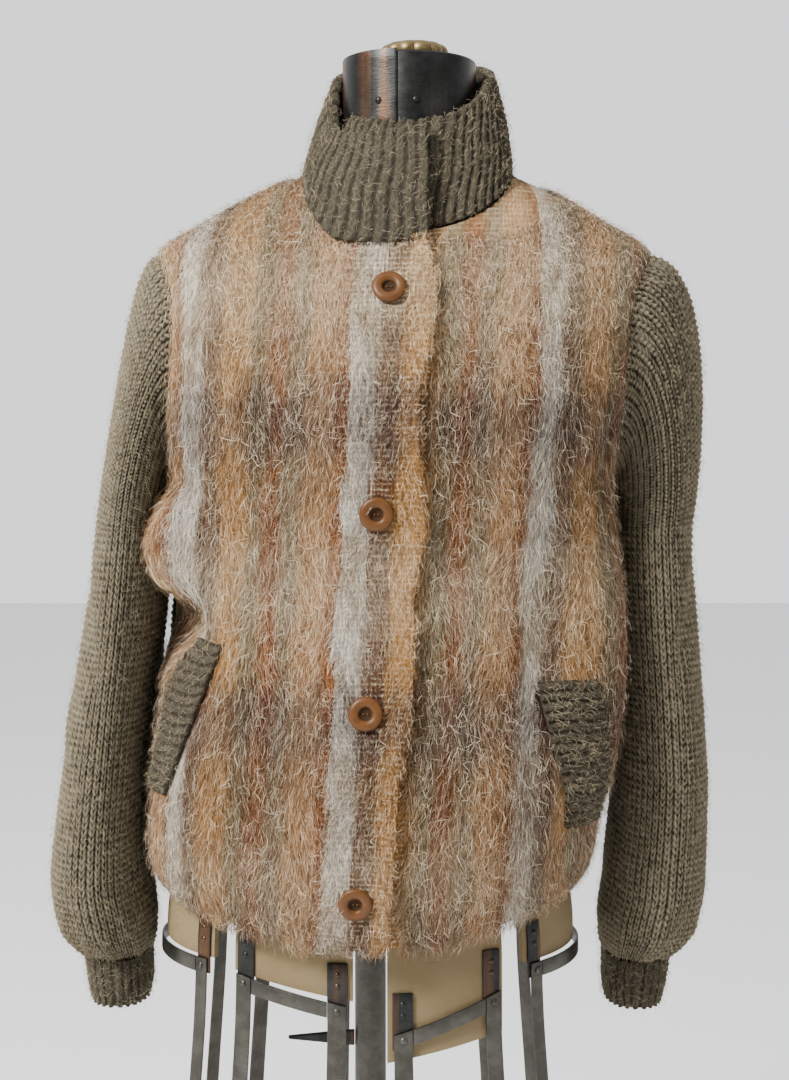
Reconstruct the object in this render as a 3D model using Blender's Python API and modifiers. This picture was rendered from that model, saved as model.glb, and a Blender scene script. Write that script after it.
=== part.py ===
"""Wool jacket on a dress form, as solids at real size.

The jacket has two brushed mohair fronts, and a knitted back, sleeves, cuffs, collar and pocket welts.
It is buttoned right front over left, on a plain dress form that stands on a round base.
Units are metres. +Z is up, the front faces -Y and the wearer's left is +X.
The origin is the middle of the base's underside.
"""

import math

import bmesh
import bpy
import numpy as np
from mathutils import Vector

# Cloth
CLOTH_WALL = 0.003
KNIT_WALL = 0.0035
SEAM_GAP = 0.0004
LAP_LIFT = 0.0060
RIB_HEIGHT = 0.0012
RIB_PITCH = 0.0096

# Body of the jacket, in heights above the floor
HEM_HEIGHT = 0.718
UNDERARM_HEIGHT = 1.090
SHOULDER_HEIGHT = 1.284
NECK_PIT_HEIGHT = 1.297
FRONT_TOP_HEIGHT = 1.350
NECK_POINT_HEIGHT = 1.356
NECK_HALF_WIDTH = 0.088
HEM_SIDE_RISE = 0.034
HEM_RISE_REACH = 0.12
UNDERLAP_PAST_CENTRE = 0.026
LAP_EASE = 0.030
SHOULDER_SEAM_FORWARD = 0.020

# The form leans a little to the wearer's left, measured as sideways drift per metre above the hips
LEAN = 0.055
LEAN_START_HEIGHT = 0.750

# Armholes
ARMHOLE_FRONT_REACH = 0.066
ARMHOLE_BACK_REACH = 0.060
SLEEVE_COLUMNS = 28

# Mesh steps, with the heights of a body panel's rows below its armhole and above it
SKIRT_HEIGHTS = (0.718, 0.727, 0.742, 0.768, 0.805, 0.845, 0.882,
                 0.912, 0.940, 0.965, 0.988, 1.012, 1.038, 1.064)
YOKE_HEIGHTS = (1.297, 1.2985, 1.302, 1.310, 1.3225, 1.338)
FRONT_COLUMNS = 11
BACK_COLUMNS = 15
OUTLINE_STEPS = 241
NORMAL_STEP = 0.006

# Buttons
BUTTON_RADIUS = 0.0138
BUTTON_THICKNESS = 0.0056
BUTTON_WELL_RADIUS = 0.0052
BUTTON_WELL_DEPTH = 0.0030
BUTTON_CLEARANCE = 0.0008
BUTTON_FROM_CENTRE = 0.010
BUTTON_HEIGHTS = (1.248, 1.070, 0.912, 0.762)
BUTTON_STEPS = 18

# Pocket welts
WELT_WIDTH = 0.047
WELT_RIBS = 14
WELT_COLUMNS = 5

# Collar
COLLAR_UNDER_END = math.radians(-16)
COLLAR_OVER_END = math.radians(371)
COLLAR_LAP_START = math.radians(318)
COLLAR_LAP_FULL = math.radians(342)
COLLAR_RIM_HALF_WIDTH = 0.069
COLLAR_RIM_FRONT = 0.071
COLLAR_RIM_BACK = 0.064
COLLAR_SEAT = 0.0012
COLLAR_ROWS = 4

# Dress form
NECK_BAND_HALF_WIDTH = 0.057
NECK_BAND_DEPTH_SHARE = 0.94
NECK_BAND_BOTTOM = 1.3888
NECK_BAND_HEIGHT = 0.0625
KNOB_RADIUS = 0.030
KNOB_THICKNESS = 0.015
HIP_SHELL = 0.005
HIP_PANEL_TOP = 0.7997
BODICE_BOTTOM = 0.800
POLE_RADIUS = 0.014
BASE_RADIUS = 0.230
BASE_THICKNESS = 0.022
BASE_HUB_RADIUS = 0.045
BASE_HUB_HEIGHT = 0.060

# Cage under the hips
STRIP_WIDTH = 0.015
STRIP_THICKNESS = 0.002
STRAP_WIDTH = 0.013
CAGE_BOTTOM = 0.430
CAGE_FLARE = 0.016
TAB_WIDTH = 0.017
TAB_HEIGHT = 0.048
TAB_THICKNESS = 0.002
LEVER_HEIGHT = 0.590
LEVER_REACH = 0.074
LEVER_ROOT_WIDTH = 0.015
LEVER_TIP_WIDTH = 0.003
LEVER_THICKNESS = 0.004


class Sections:
    """A table with one row for each section, read at any key by a smooth curve through its rows."""

    def __init__(self, columns, rows):
        self.columns = columns
        self.values = np.array(rows, float)

    def at(self, name, key):
        keys = self.values[:, 0]
        column = self.values[:, self.columns.index(name)]
        steps = np.diff(keys)
        secants = np.diff(column) / steps
        product = secants[:-1] * secants[1:]
        total = secants[:-1] + secants[1:]
        inner = np.where(product > 0, 2 * product / np.where(total == 0, 1, total), 0)
        slopes = np.concatenate([[secants[0]], inner, [secants[-1]]])
        key = np.clip(key, keys[0], keys[-1])
        i = np.clip(np.searchsorted(keys, key) - 1, 0, len(steps) - 1)
        t = (key - keys[i]) / steps[i]
        start = column[i] * (1 + 2 * t) * (1 - t) ** 2 + column[i + 1] * t**2 * (3 - 2 * t)
        return start + steps[i] * (slopes[i] * t * (1 - t) ** 2 - slopes[i + 1] * t**2 * (1 - t))


# Outside of the jacket's body: half its width, and how far it stands to the front and back
BODY = Sections(
    ("height", "half_width", "front", "back", "squareness"),
    [
        (0.718, 0.186, 0.142, 0.132, 2.2),
        (0.738, 0.191, 0.150, 0.136, 2.3),
        (0.780, 0.1945, 0.158, 0.140, 2.4),
        (0.860, 0.1930, 0.156, 0.139, 2.5),
        (0.940, 0.1880, 0.147, 0.132, 2.5),
        (1.020, 0.1860, 0.144, 0.126, 2.5),
        (1.090, 0.1900, 0.147, 0.124, 2.5),
        (1.150, 0.1985, 0.146, 0.122, 2.6),
        (1.210, 0.2050, 0.133, 0.116, 2.7),
        (1.260, 0.2100, 0.112, 0.104, 2.7),
        (1.284, 0.2110, 0.097, 0.096, 2.6),
        (1.310, 0.1740, 0.083, 0.089, 2.5),
        (1.335, 0.1310, 0.067, 0.081, 2.4),
        (1.356, 0.0880, 0.046, 0.073, 2.3),
    ],
)

# A hanging sleeve on the wearer's left: its inner and outer sides, and its front and back edges
SLEEVE = Sections(
    ("height", "inner", "outer", "front", "back"),
    [
        (0.672, 0.2000, 0.2590, 0.040, 0.044),
        (0.684, 0.1960, 0.2710, 0.055, 0.060),
        (0.704, 0.1955, 0.2820, 0.070, 0.075),
        (0.740, 0.2015, 0.2860, 0.078, 0.083),
        (0.800, 0.2050, 0.2830, 0.081, 0.086),
        (0.885, 0.2030, 0.2760, 0.083, 0.087),
        (0.985, 0.1970, 0.2670, 0.085, 0.088),
        (1.050, 0.1950, 0.2620, 0.086, 0.088),
    ],
)
SLEEVE_HEIGHTS = (0.970, 0.890, 0.810, 0.750, 0.712, 0.690, 0.679, 0.672)
SLEEVE_SQUARENESS = 2.3
SLEEVE_CAP_RINGS = 7
CAP_REACH_TOP = 0.036
CAP_REACH_UNDERARM = 0.004
CAP_RISE_TOP = 0.130
CAP_RISE_UNDERARM = 0.015
CUFF_GATHERS = 8
CUFF_GATHER_DEPTH = 0.0035
CUFF_GATHER_TOP = 0.765

CUFF = Sections(
    ("height", "inner", "outer", "front", "back"),
    [
        (0.628, 0.2030, 0.2500, 0.033, 0.036),
        (0.645, 0.2000, 0.2540, 0.038, 0.041),
        (0.6716, 0.2005, 0.2575, 0.039, 0.043),
    ],
)
CUFF_ROWS = 3
CUFF_RIBS = 20

# The two sleeves hang a little differently. Fuller is how much wider the sleeve's head stands,
# spread how far its lower end swings out, slimmer how far its upper outer side is drawn in,
# and drop how much lower its cuff ends.
SLEEVE_SIDES = {
    "right": {"set_back": 0.006, "fuller": -0.012, "spread": -0.002, "slimmer": 0.009, "drop": 0.0},
    "left": {"set_back": 0.034, "fuller": 0.012, "spread": 0.014, "slimmer": -0.006, "drop": 0.012},
}

# The right front's edge wanders as it goes down
LAP_EDGE = Sections(
    ("height", "past_centre"),
    [
        (0.712, 0.013),
        (0.753, 0.018),
        (0.863, 0.018),
        (0.909, 0.026),
        (1.002, 0.022),
        (1.057, 0.028),
        (1.097, 0.023),
        (1.160, 0.018),
        (1.216, 0.026),
        (1.248, 0.028),
        (1.298, 0.017),
    ],
)

# Height of the collar's upper edge, by turns in degrees from the centre front to the wearer's left
COLLAR_RIM = Sections(
    ("turn", "height"),
    [
        (-20, 1.378),
        (10, 1.382),
        (45, 1.402),
        (90, 1.440),
        (135, 1.454),
        (180, 1.454),
        (225, 1.450),
        (262, 1.438),
        (288, 1.394),
        (305, 1.382),
        (340, 1.378),
        (375, 1.382),
    ],
)

# Pocket welts, by their inner edges
WELT_COLUMN_NAMES = ("top", "bottom", "from_centre_top", "from_centre_bottom")
WELTS = {
    "right": (0.962, 0.832, 0.128, 0.172),
    "left": (0.932, 0.806, 0.128, 0.160),
}

# Soft folds of the fronts. Girth is measured from the centre front towards the side.
FOLD_COLUMNS = ("side", "top", "bottom", "girth_top", "girth_bottom", "width", "depth")
FOLDS = [
    ("right", 1.086, 0.980, 0.212, 0.220, 0.036, 0.013),
    ("right", 1.015, 0.925, 0.190, 0.220, 0.040, -0.013),
    ("right", 1.120, 0.960, 0.150, 0.140, 0.034, -0.006),
    ("right", 0.900, 0.730, 0.120, 0.110, 0.036, 0.005),
    ("left", 1.090, 0.790, 0.205, 0.210, 0.044, 0.026),
    ("left", 1.060, 0.860, 0.120, 0.125, 0.034, -0.007),
    ("left", 0.900, 0.730, 0.080, 0.085, 0.034, 0.005),
    ("left", 0.840, 0.725, 0.175, 0.170, 0.034, -0.006),
]

# Outside of the dress form's body
BODICE = Sections(
    ("height", "half_width", "front", "back"),
    [
        (0.800, 0.163, 0.116, 0.114),
        (0.860, 0.148, 0.105, 0.106),
        (0.930, 0.132, 0.098, 0.096),
        (1.020, 0.145, 0.114, 0.104),
        (1.100, 0.162, 0.130, 0.111),
        (1.170, 0.177, 0.126, 0.110),
        (1.230, 0.188, 0.108, 0.102),
        (1.268, 0.188, 0.094, 0.090),
        (1.288, 0.177, 0.084, 0.084),
        (1.310, 0.1632, 0.074, 0.080),
        (1.335, 0.1192, 0.060, 0.073),
        (1.350, 0.0850, 0.055, 0.064),
        (1.362, 0.0660, 0.056, 0.058),
        (1.3885, 0.0605, 0.056, 0.056),
    ],
)
BODICE_HEIGHTS = (0.800, 0.850, 0.900, 0.950, 1.020, 1.090, 1.150, 1.200, 1.240, 1.268,
                  1.288, 1.310, 1.3225, 1.335, 1.350, 1.362, 1.3755, 1.3885)
BODICE_COLUMNS = 28

# Outside of the hips, below the bodice
HIPS = Sections(
    ("height", "half_width", "front", "back"),
    [
        (0.600, 0.182, 0.124, 0.120),
        (0.700, 0.181, 0.124, 0.120),
        (0.7997, 0.164, 0.117, 0.115),
    ],
)
# Hip panels by the turns, in degrees from the centre front, where each starts and ends, with the heights of
# its lower edge and of its strap's lower edge at those two ends
HIP_PANEL_COLUMNS = ("name", "start", "end", "bottom_start", "bottom_end", "strap_start", "strap_end")
HIP_PANELS = [
    ("front_left", 5.0, 38.0, 0.616, 0.634, 0.627, 0.657),
    ("side_left", 46.0, 134.0, 0.688, 0.688, 0.674, 0.674),
    ("back_left", 142.0, 175.0, 0.660, 0.660, 0.646, 0.646),
    ("back_right", 185.0, 218.0, 0.660, 0.660, 0.646, 0.646),
    ("side_right", 226.0, 314.0, 0.692, 0.692, 0.678, 0.678),
    ("front_right", 322.0, 356.0, 0.686, 0.668, 0.672, 0.652),
]

COLOURS = {
    "mohair": ((0.55, 0.38, 0.26), 0.95, 0.0),
    "knit": ((0.20, 0.175, 0.125), 0.95, 0.0),
    "button": ((0.24, 0.10, 0.045), 0.35, 0.0),
    "canvas": ((0.42, 0.33, 0.20), 0.85, 0.0),
    "gunmetal": ((0.10, 0.095, 0.09), 0.35, 0.9),
    "steel": ((0.32, 0.31, 0.29), 0.40, 0.9),
    "brass": ((0.33, 0.25, 0.12), 0.40, 0.9),
    "iron": ((0.05, 0.05, 0.05), 0.55, 0.8),
}


def clear_scene():
    for old in list(bpy.data.objects):
        bpy.data.objects.remove(old)


def new_collection(name):
    collection = bpy.data.collections.new(name)
    bpy.context.scene.collection.children.link(collection)
    return collection


def finish_material(name, finish):
    """A plain finish of the object's own: colour, roughness and metallic value."""
    colour, roughness, metallic = COLOURS[finish]
    material = bpy.data.materials.new(name)
    material.use_nodes = True
    shader = material.node_tree.nodes["Principled BSDF"]
    shader.inputs["Base Color"].default_value = (*colour, 1)
    shader.inputs["Roughness"].default_value = roughness
    shader.inputs["Metallic"].default_value = metallic
    return material


def add_object(name, mesh, finish, collection, smooth_angle=math.radians(40)):
    mesh.materials.append(finish_material(name, finish))
    mesh.shade_smooth()
    mesh.set_sharp_from_angle(angle=smooth_angle)
    made = bpy.data.objects.new(name, mesh)
    collection.objects.link(made)
    return made


def ease(value, low, high):
    """0 below low, 1 above high, and a smooth rise between."""
    t = np.clip((value - low) / (high - low), 0, 1)
    return t * t * (3 - 2 * t)


def leaned(points):
    """The points with the form's sideways lean."""
    moved = np.array(points, float)
    moved[..., 0] += LEAN * np.maximum(moved[..., 2] - LEAN_START_HEIGHT, 0)
    return moved


def mirrored(grid):
    """A grid of points from the wearer's left, turned over to the right with its columns reversed."""
    return grid[:, ::-1] * np.array([-1, 1, 1])


def normals_of(grid, wraps=False):
    """Outward normals of a grid whose columns run to the wearer's left in front and whose rows run up."""
    if wraps:
        across = np.roll(grid, -1, 1) - np.roll(grid, 1, 1)
    else:
        across = np.gradient(grid, axis=1)
    along = np.gradient(grid, axis=0)
    normal = np.cross(across, along)
    return normal / np.linalg.norm(normal, axis=-1, keepdims=True)


def loft_wall(name, outer, inner, finish, collection, wraps=False, keep=None):
    """A closed wall lofted through two grids of section points, with a rim wherever kept cells end."""
    rows, columns = outer.shape[:2]
    cells = columns if wraps else columns - 1
    if keep is None:
        keep = np.ones((rows - 1, cells), bool)
    shape = bmesh.new()
    skins = [[shape.verts.new(p) for p in grid.reshape(-1, 3)] for grid in (outer, inner)]

    def corner(skin, row, column):
        return skins[skin][row * columns + column % columns]

    sides = {}
    for row, column in np.argwhere(keep):
        loop = [(row, column), (row, column + 1), (row + 1, column + 1), (row + 1, column)]
        loop = [(r, c % columns) for r, c in loop]
        ends = [outer[at] for at in loop]
        if np.linalg.norm(ends[0] - ends[2]) > np.linalg.norm(ends[1] - ends[3]):
            halves = [(0, 1, 3), (1, 2, 3)]
        else:
            halves = [(0, 1, 2), (0, 2, 3)]
        for half in halves:
            shape.faces.new([corner(0, *loop[i]) for i in half])
            shape.faces.new([corner(1, *loop[i]) for i in reversed(half)])
        for start, end in zip(loop, loop[1:] + loop[:1]):
            sides[start, end] = True
    for start, end in sides:
        if (end, start) not in sides:
            shape.faces.new([corner(0, *end), corner(0, *start), corner(1, *start), corner(1, *end)])
    loose = [v for v in shape.verts if not v.link_faces]
    bmesh.ops.delete(shape, geom=loose, context="VERTS")
    bmesh.ops.recalc_face_normals(shape, faces=shape.faces)
    mesh = bpy.data.meshes.new(name)
    shape.to_mesh(mesh)
    shape.free()
    return add_object(name, mesh, finish, collection)


def section_outline(height):
    """Girth from the centre front, x, y and outward direction along half a section, front to back."""
    turn = np.linspace(0, math.pi, OUTLINE_STEPS)
    power = 2 / BODY.at("squareness", height)
    depth = np.where(turn < math.pi / 2, BODY.at("front", height), BODY.at("back", height))
    x = BODY.at("half_width", height) * np.sin(turn) ** power
    y = -depth * np.sign(np.cos(turn)) * np.abs(np.cos(turn)) ** power
    girth = np.concatenate([[0], np.cumsum(np.hypot(np.diff(x), np.diff(y)))])
    out_x, out_y = np.gradient(y), -np.gradient(x)
    length = np.hypot(out_x, out_y)
    return girth, x, y, out_x / length, out_y / length


def side_girth(height):
    return section_outline(height)[0][OUTLINE_STEPS // 2]


def girth_at(height, from_centre):
    """Girth in front where the body is this far from its middle plane."""
    girth, x = section_outline(height)[:2]
    half = OUTLINE_STEPS // 2 + 1
    return float(np.interp(from_centre, x[:half], girth[:half]))


def seam_girth(height):
    """Girth of the line that is the side seam, the middle of the armhole and the shoulder seam."""
    rise = ease(height, UNDERARM_HEIGHT, SHOULDER_HEIGHT)
    fall = np.clip((NECK_POINT_HEIGHT - height) / (NECK_POINT_HEIGHT - SHOULDER_HEIGHT), 0, 1)
    return side_girth(height) - SHOULDER_SEAM_FORWARD * rise * fall


def fold_depth(side, girth, height):
    """How far the front's soft folds stand out or sink in."""
    depth = np.zeros_like(girth)
    for fold in FOLDS:
        row = dict(zip(FOLD_COLUMNS, fold))
        if row["side"] != side:
            continue
        down = (row["top"] - height) / (row["top"] - row["bottom"])
        middle = row["girth_top"] + (row["girth_bottom"] - row["girth_top"]) * down
        swell = math.sin(math.pi * down) if 0 < down < 1 else 0.0
        depth += row["depth"] * swell * np.exp(-(((girth - middle) / row["width"]) ** 2))
    return depth


def hem_rise(girth, height):
    """The hem rides up towards the sides."""
    reach = np.clip(1 - (height - HEM_HEIGHT) / HEM_RISE_REACH, 0, 1)
    side = side_girth(height)
    return HEM_SIDE_RISE * reach**2 * np.sin(np.clip(girth / side, 0, 2) * math.pi / 2) ** 2


def body_row(height, girths, side=None, lift=0.0):
    """Points of the body on the wearer's left at this height. A girth below 0 is past the centre."""
    girths = np.asarray(girths, float)
    girth, x, y, out_x, out_y = section_outline(height)
    sign = np.sign(girths)
    at = np.abs(girths)
    over = at - girth[-1]
    at = np.where(over > 0, girth[-1] - over, at)
    sign = np.where(over > 0, -sign, sign)
    out = lift + (fold_depth(side, girths, height) if side else 0)
    rise = hem_rise(at, height)
    px = sign * (np.interp(at, girth, x) + np.interp(at, girth, out_x) * out)
    py = np.interp(at, girth, y) + np.interp(at, girth, out_y) * out
    return np.stack([px, py, height + rise], axis=-1)


def body_normals(height, girths, side=None, lift=0.0):
    """Outward normals of the jacket's body at these points."""
    step = NORMAL_STEP
    share = girths / section_outline(height)[0][-1]
    high = body_row(height + step, share * section_outline(height + step)[0][-1], side, lift)
    low = body_row(height - step, share * section_outline(height - step)[0][-1], side, lift)
    along = body_row(height, girths + step, side, lift) - body_row(height, girths - step, side, lift)
    normal = np.cross(along, high - low)
    return normal / np.linalg.norm(normal, axis=-1, keepdims=True)


def armhole_reach(height, reach):
    """Half the armhole's width at this height, an ellipse between the underarm and the shoulder."""
    middle = (SHOULDER_HEIGHT + UNDERARM_HEIGHT) / 2
    half = (SHOULDER_HEIGHT - UNDERARM_HEIGHT) / 2
    return reach * math.sqrt(max(0.0, 1 - ((height - middle) / half) ** 2))


def armhole_heights():
    """Heights of the armhole's points, from the underarm to the shoulder, as on the sleeve's first ring."""
    middle = (SHOULDER_HEIGHT + UNDERARM_HEIGHT) / 2
    half = (SHOULDER_HEIGHT - UNDERARM_HEIGHT) / 2
    turns = np.linspace(math.pi, 0, SLEEVE_COLUMNS // 2 + 1)
    return middle + half * np.cos(turns)


def body_heights(top):
    """Rows of a body panel, from the hem to its top."""
    return [*SKIRT_HEIGHTS, *armhole_heights(), *YOKE_HEIGHTS, top]


def neckline_girth(height):
    """Girth at which the neckline crosses this height in front."""
    up = (height - NECK_PIT_HEIGHT) / (NECK_POINT_HEIGHT - NECK_PIT_HEIGHT)
    turn = math.acos(np.clip(1 - up, -1, 1))
    return girth_at(height, NECK_HALF_WIDTH * math.sin(turn))


def front_girths(side, height):
    """Girths of one front's columns at this height, from its centre edge to the seam."""
    start = -LAP_EDGE.at("past_centre", height) if side == "right" else -UNDERLAP_PAST_CENTRE
    if height > NECK_PIT_HEIGHT:
        start = max(start, neckline_girth(height) + SEAM_GAP)
    end = seam_girth(height) - SEAM_GAP - armhole_reach(height, ARMHOLE_FRONT_REACH)
    return np.linspace(start, end, FRONT_COLUMNS)


def front_lift(side, girths):
    """The right front is raised where it laps over the left."""
    return LAP_LIFT * (1 - ease(girths, LAP_EASE, 2 * LAP_EASE)) * (side == "right")


def front_row(side, height):
    girths = front_girths(side, height)
    return body_row(height, girths, side, front_lift(side, girths))


def front_points(side, height, girths):
    """Points on one front's own faces, as on the wearer's left, read between its rows and columns."""
    heights = body_heights(FRONT_TOP_HEIGHT)
    row = int(np.searchsorted(heights, height)) - 1
    share = (height - heights[row]) / (heights[row + 1] - heights[row])
    ends = []
    for h in heights[row : row + 2]:
        own = front_girths(side, h)
        points = front_row(side, h)
        ends.append(np.stack([np.interp(girths, own, points[:, k]) for k in range(3)], -1))
    return ends[0] * (1 - share) + ends[1] * share


def make_front(side, collection):
    heights = body_heights(FRONT_TOP_HEIGHT)
    grid = np.array([front_row(side, h) for h in heights])
    normals = []
    for height in heights:
        girths = front_girths(side, height)
        normals.append(body_normals(height, girths, side, front_lift(side, girths)))
    inner = grid - np.array(normals) * CLOTH_WALL
    if side == "right":
        grid, inner = mirrored(grid), mirrored(inner)
    return loft_wall(f"front_{side}", leaned(grid), leaned(inner), "mohair", collection)


def make_back(collection):
    rows = []
    normals = []
    for height in body_heights(NECK_POINT_HEIGHT):
        start = seam_girth(height) + SEAM_GAP + armhole_reach(height, ARMHOLE_BACK_REACH)
        half = section_outline(height)[0][-1]
        girths = np.linspace(start, 2 * half - start, BACK_COLUMNS)
        rows.append(body_row(height, girths))
        normals.append(body_normals(height, girths))
    grid = np.array(rows)
    inner = grid - np.array(normals) * KNIT_WALL
    return loft_wall("back", leaned(grid), leaned(inner), "knit", collection)


def sleeve_ring(table, height, side, columns):
    """One level ring of a hanging tube, from its outer side round by the front."""
    facts = SLEEVE_SIDES[side]
    low, high = CUFF.values[0, 0], SLEEVE.values[-1, 0]
    down = (high - height) / (high - low)
    swing = facts["spread"] * min(1.0, 2 * down)
    inner = table.at("inner", height) + swing
    outer = table.at("outer", height) + swing - facts["slimmer"] * (1 - down)
    turn = np.arange(columns) * 2 * math.pi / columns
    power = 2 / SLEEVE_SQUARENESS
    across = np.sign(np.cos(turn)) * np.abs(np.cos(turn)) ** power
    ahead = np.sign(np.sin(turn)) * np.abs(np.sin(turn)) ** power
    depth = np.where(ahead > 0, table.at("front", height), table.at("back", height))
    x = (outer + inner) / 2 + (outer - inner) / 2 * across
    y = facts["set_back"] - depth * ahead
    return np.stack([x, y, np.full(columns, height - facts["drop"] * down)], axis=-1)


def armhole_ring():
    """Where the sleeve is sewn in, from the shoulder round by the front, set out by the seam's gap."""
    heights = armhole_heights()[::-1]
    front = []
    back = []
    for height in heights:
        seam = seam_girth(height)
        front.append(body_row(height, [seam - armhole_reach(height, ARMHOLE_FRONT_REACH)])[0])
        back.append(body_row(height, [seam + armhole_reach(height, ARMHOLE_BACK_REACH)])[0])
    return np.array(front + back[-2:0:-1]) + np.array([SEAM_GAP, 0, 0])


def cap_rings(side):
    """Rings of the sleeve's head, which leave the armhole outwards and turn down to hang."""
    facts = SLEEVE_SIDES[side]
    turn = np.arange(SLEEVE_COLUMNS) * 2 * math.pi / SLEEVE_COLUMNS
    upper = ((1 + np.cos(turn)) / 2)[:, None]
    reach = CAP_REACH_UNDERARM + (CAP_REACH_TOP + facts["fuller"] - CAP_REACH_UNDERARM) * upper
    rise = CAP_RISE_UNDERARM + (CAP_RISE_TOP - CAP_RISE_UNDERARM) * upper
    top_height = SLEEVE.values[-1, 0]
    start = armhole_ring()
    end = sleeve_ring(SLEEVE, top_height, side, SLEEVE_COLUMNS)
    out = start + reach * np.array([1, 0, 0])
    above = end + rise * np.array([0, 0, 1]) + facts["fuller"] * upper**2 * np.array([1, 0, 0])
    rings = []
    for t in np.linspace(0, 1, SLEEVE_CAP_RINGS):
        weights = ((1 - t) ** 3, 3 * t * (1 - t) ** 2, 3 * t**2 * (1 - t), t**3)
        rings.append(sum(w * p for w, p in zip(weights, (start, out, above, end))))
    return rings


def gathered(ring, height):
    """A sleeve ring drawn into soft gathers as it nears the cuff."""
    middle = ring.mean(axis=0)
    turn = np.arange(len(ring)) * 2 * math.pi / len(ring)
    drawn = ease(-height, -CUFF_GATHER_TOP, -SLEEVE.values[1, 0])
    wave = CUFF_GATHER_DEPTH * drawn * (np.cos(CUFF_GATHERS * turn) - 1) / 2
    out = ring - middle
    out /= np.linalg.norm(out, axis=1, keepdims=True)
    return ring + out * wave[:, None]


def make_sleeve(side, collection):
    rings = cap_rings(side)
    for height in SLEEVE_HEIGHTS:
        rings.append(gathered(sleeve_ring(SLEEVE, height, side, SLEEVE_COLUMNS), height))
    grid = np.array(rings)[::-1, ::-1]
    if side == "right":
        grid = mirrored(grid)
    inner = grid - normals_of(grid, wraps=True) * KNIT_WALL
    return loft_wall(f"sleeve_{side}", leaned(grid), leaned(inner), "knit", collection, wraps=True)


def make_cuff(side, collection):
    columns = 2 * CUFF_RIBS
    heights = np.linspace(CUFF.values[0, 0], CUFF.values[-1, 0], CUFF_ROWS)
    grid = np.array([sleeve_ring(CUFF, h, side, columns) for h in heights])[:, ::-1]
    if side == "right":
        grid = mirrored(grid)
    normal = normals_of(grid, wraps=True)
    ridge = RIB_HEIGHT * (np.arange(columns) % 2)[None, :, None]
    outer = grid + normal * ridge
    inner = grid - normal * KNIT_WALL
    return loft_wall(f"cuff_{side}", leaned(outer), leaned(inner), "knit", collection, wraps=True)


def neck_point(turn):
    """A point of the neckline, by its turn from the centre front towards the wearer's left."""
    turn = (turn + math.pi) % (2 * math.pi) - math.pi
    if abs(turn) < math.pi / 2:
        height = NECK_PIT_HEIGHT + (NECK_POINT_HEIGHT - NECK_PIT_HEIGHT) * (1 - math.cos(turn))
        x = NECK_HALF_WIDTH * math.sin(abs(turn))
        xs, ys = section_outline(height)[1:3]
        half = OUTLINE_STEPS // 2 + 1
        return np.array([math.copysign(x, turn), np.interp(x, xs[:half], ys[:half]), height])
    x = NECK_HALF_WIDTH * math.sin(turn)
    y = -BODY.at("back", NECK_POINT_HEIGHT) * math.cos(turn)
    return np.array([x, y, NECK_POINT_HEIGHT])


def rim_point(turn):
    """A point of the collar's upper edge, which stands higher at the back."""
    ahead = math.cos(turn)
    depth = COLLAR_RIM_FRONT if ahead > 0 else COLLAR_RIM_BACK
    height = COLLAR_RIM.at("height", math.degrees(turn))
    return np.array([COLLAR_RIM_HALF_WIDTH * math.sin(turn), -depth * ahead, height])


def make_collar(collection):
    sweep = COLLAR_OVER_END - COLLAR_UNDER_END
    middle_radius = (NECK_HALF_WIDTH + COLLAR_RIM_HALF_WIDTH) / 2
    ribs = round(sweep * middle_radius / RIB_PITCH)
    turns = np.linspace(COLLAR_UNDER_END, COLLAR_OVER_END, 2 * ribs + 1)
    grid = []
    for up in np.linspace(0, 1, COLLAR_ROWS):
        row = []
        for turn in turns:
            base = neck_point(turn) + np.array([0, 0, COLLAR_SEAT])
            out = np.array([math.sin(turn), -math.cos(turn), 0])
            lap = (LAP_LIFT + RIB_HEIGHT) * ease(turn, COLLAR_LAP_START, COLLAR_LAP_FULL)
            row.append(base + (rim_point(turn) - base) * up + out * lap)
        grid.append(row)
    grid = np.array(grid)
    normal = normals_of(grid) * np.array([1, 1, 0])
    normal /= np.linalg.norm(normal, axis=-1, keepdims=True)
    ridge = RIB_HEIGHT * (np.arange(len(turns)) % 2)[None, :, None]
    outer = grid + normal * ridge
    inner = grid - normal * KNIT_WALL
    return loft_wall("collar", leaned(outer), leaned(inner), "knit", collection)


def make_welt(side, collection):
    """A ribbed band laid over the slanting pocket mouth, made from the front's own points moved out."""
    welt = dict(zip(WELT_COLUMN_NAMES, WELTS[side]))
    rows = []
    normals = []
    for down in np.linspace(1, 0, 2 * WELT_RIBS + 1):
        height = welt["top"] + (welt["bottom"] - welt["top"]) * down
        slant = welt["from_centre_bottom"] - welt["from_centre_top"]
        start = girth_at(height, welt["from_centre_top"] + slant * down)
        girths = np.linspace(start, start + WELT_WIDTH, WELT_COLUMNS)
        smooth = body_row(height, girths, side)
        normal = body_normals(height, girths, side)
        above = np.sum((front_points(side, height, girths) - smooth) * normal, axis=-1)
        rows.append(smooth + normal * np.maximum(above, 0)[:, None])
        normals.append(normal)
    grid, normal = np.array(rows), np.array(normals)
    if side == "right":
        grid, normal = mirrored(grid), mirrored(normal)
    ridge = RIB_HEIGHT * (np.arange(len(rows)) % 2)[:, None, None]
    inner = grid + normal * (2 * SEAM_GAP)
    outer = inner + normal * (KNIT_WALL + ridge)
    return loft_wall(f"pocket_welt_{side}", leaned(outer), leaned(inner), "knit", collection)


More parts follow.
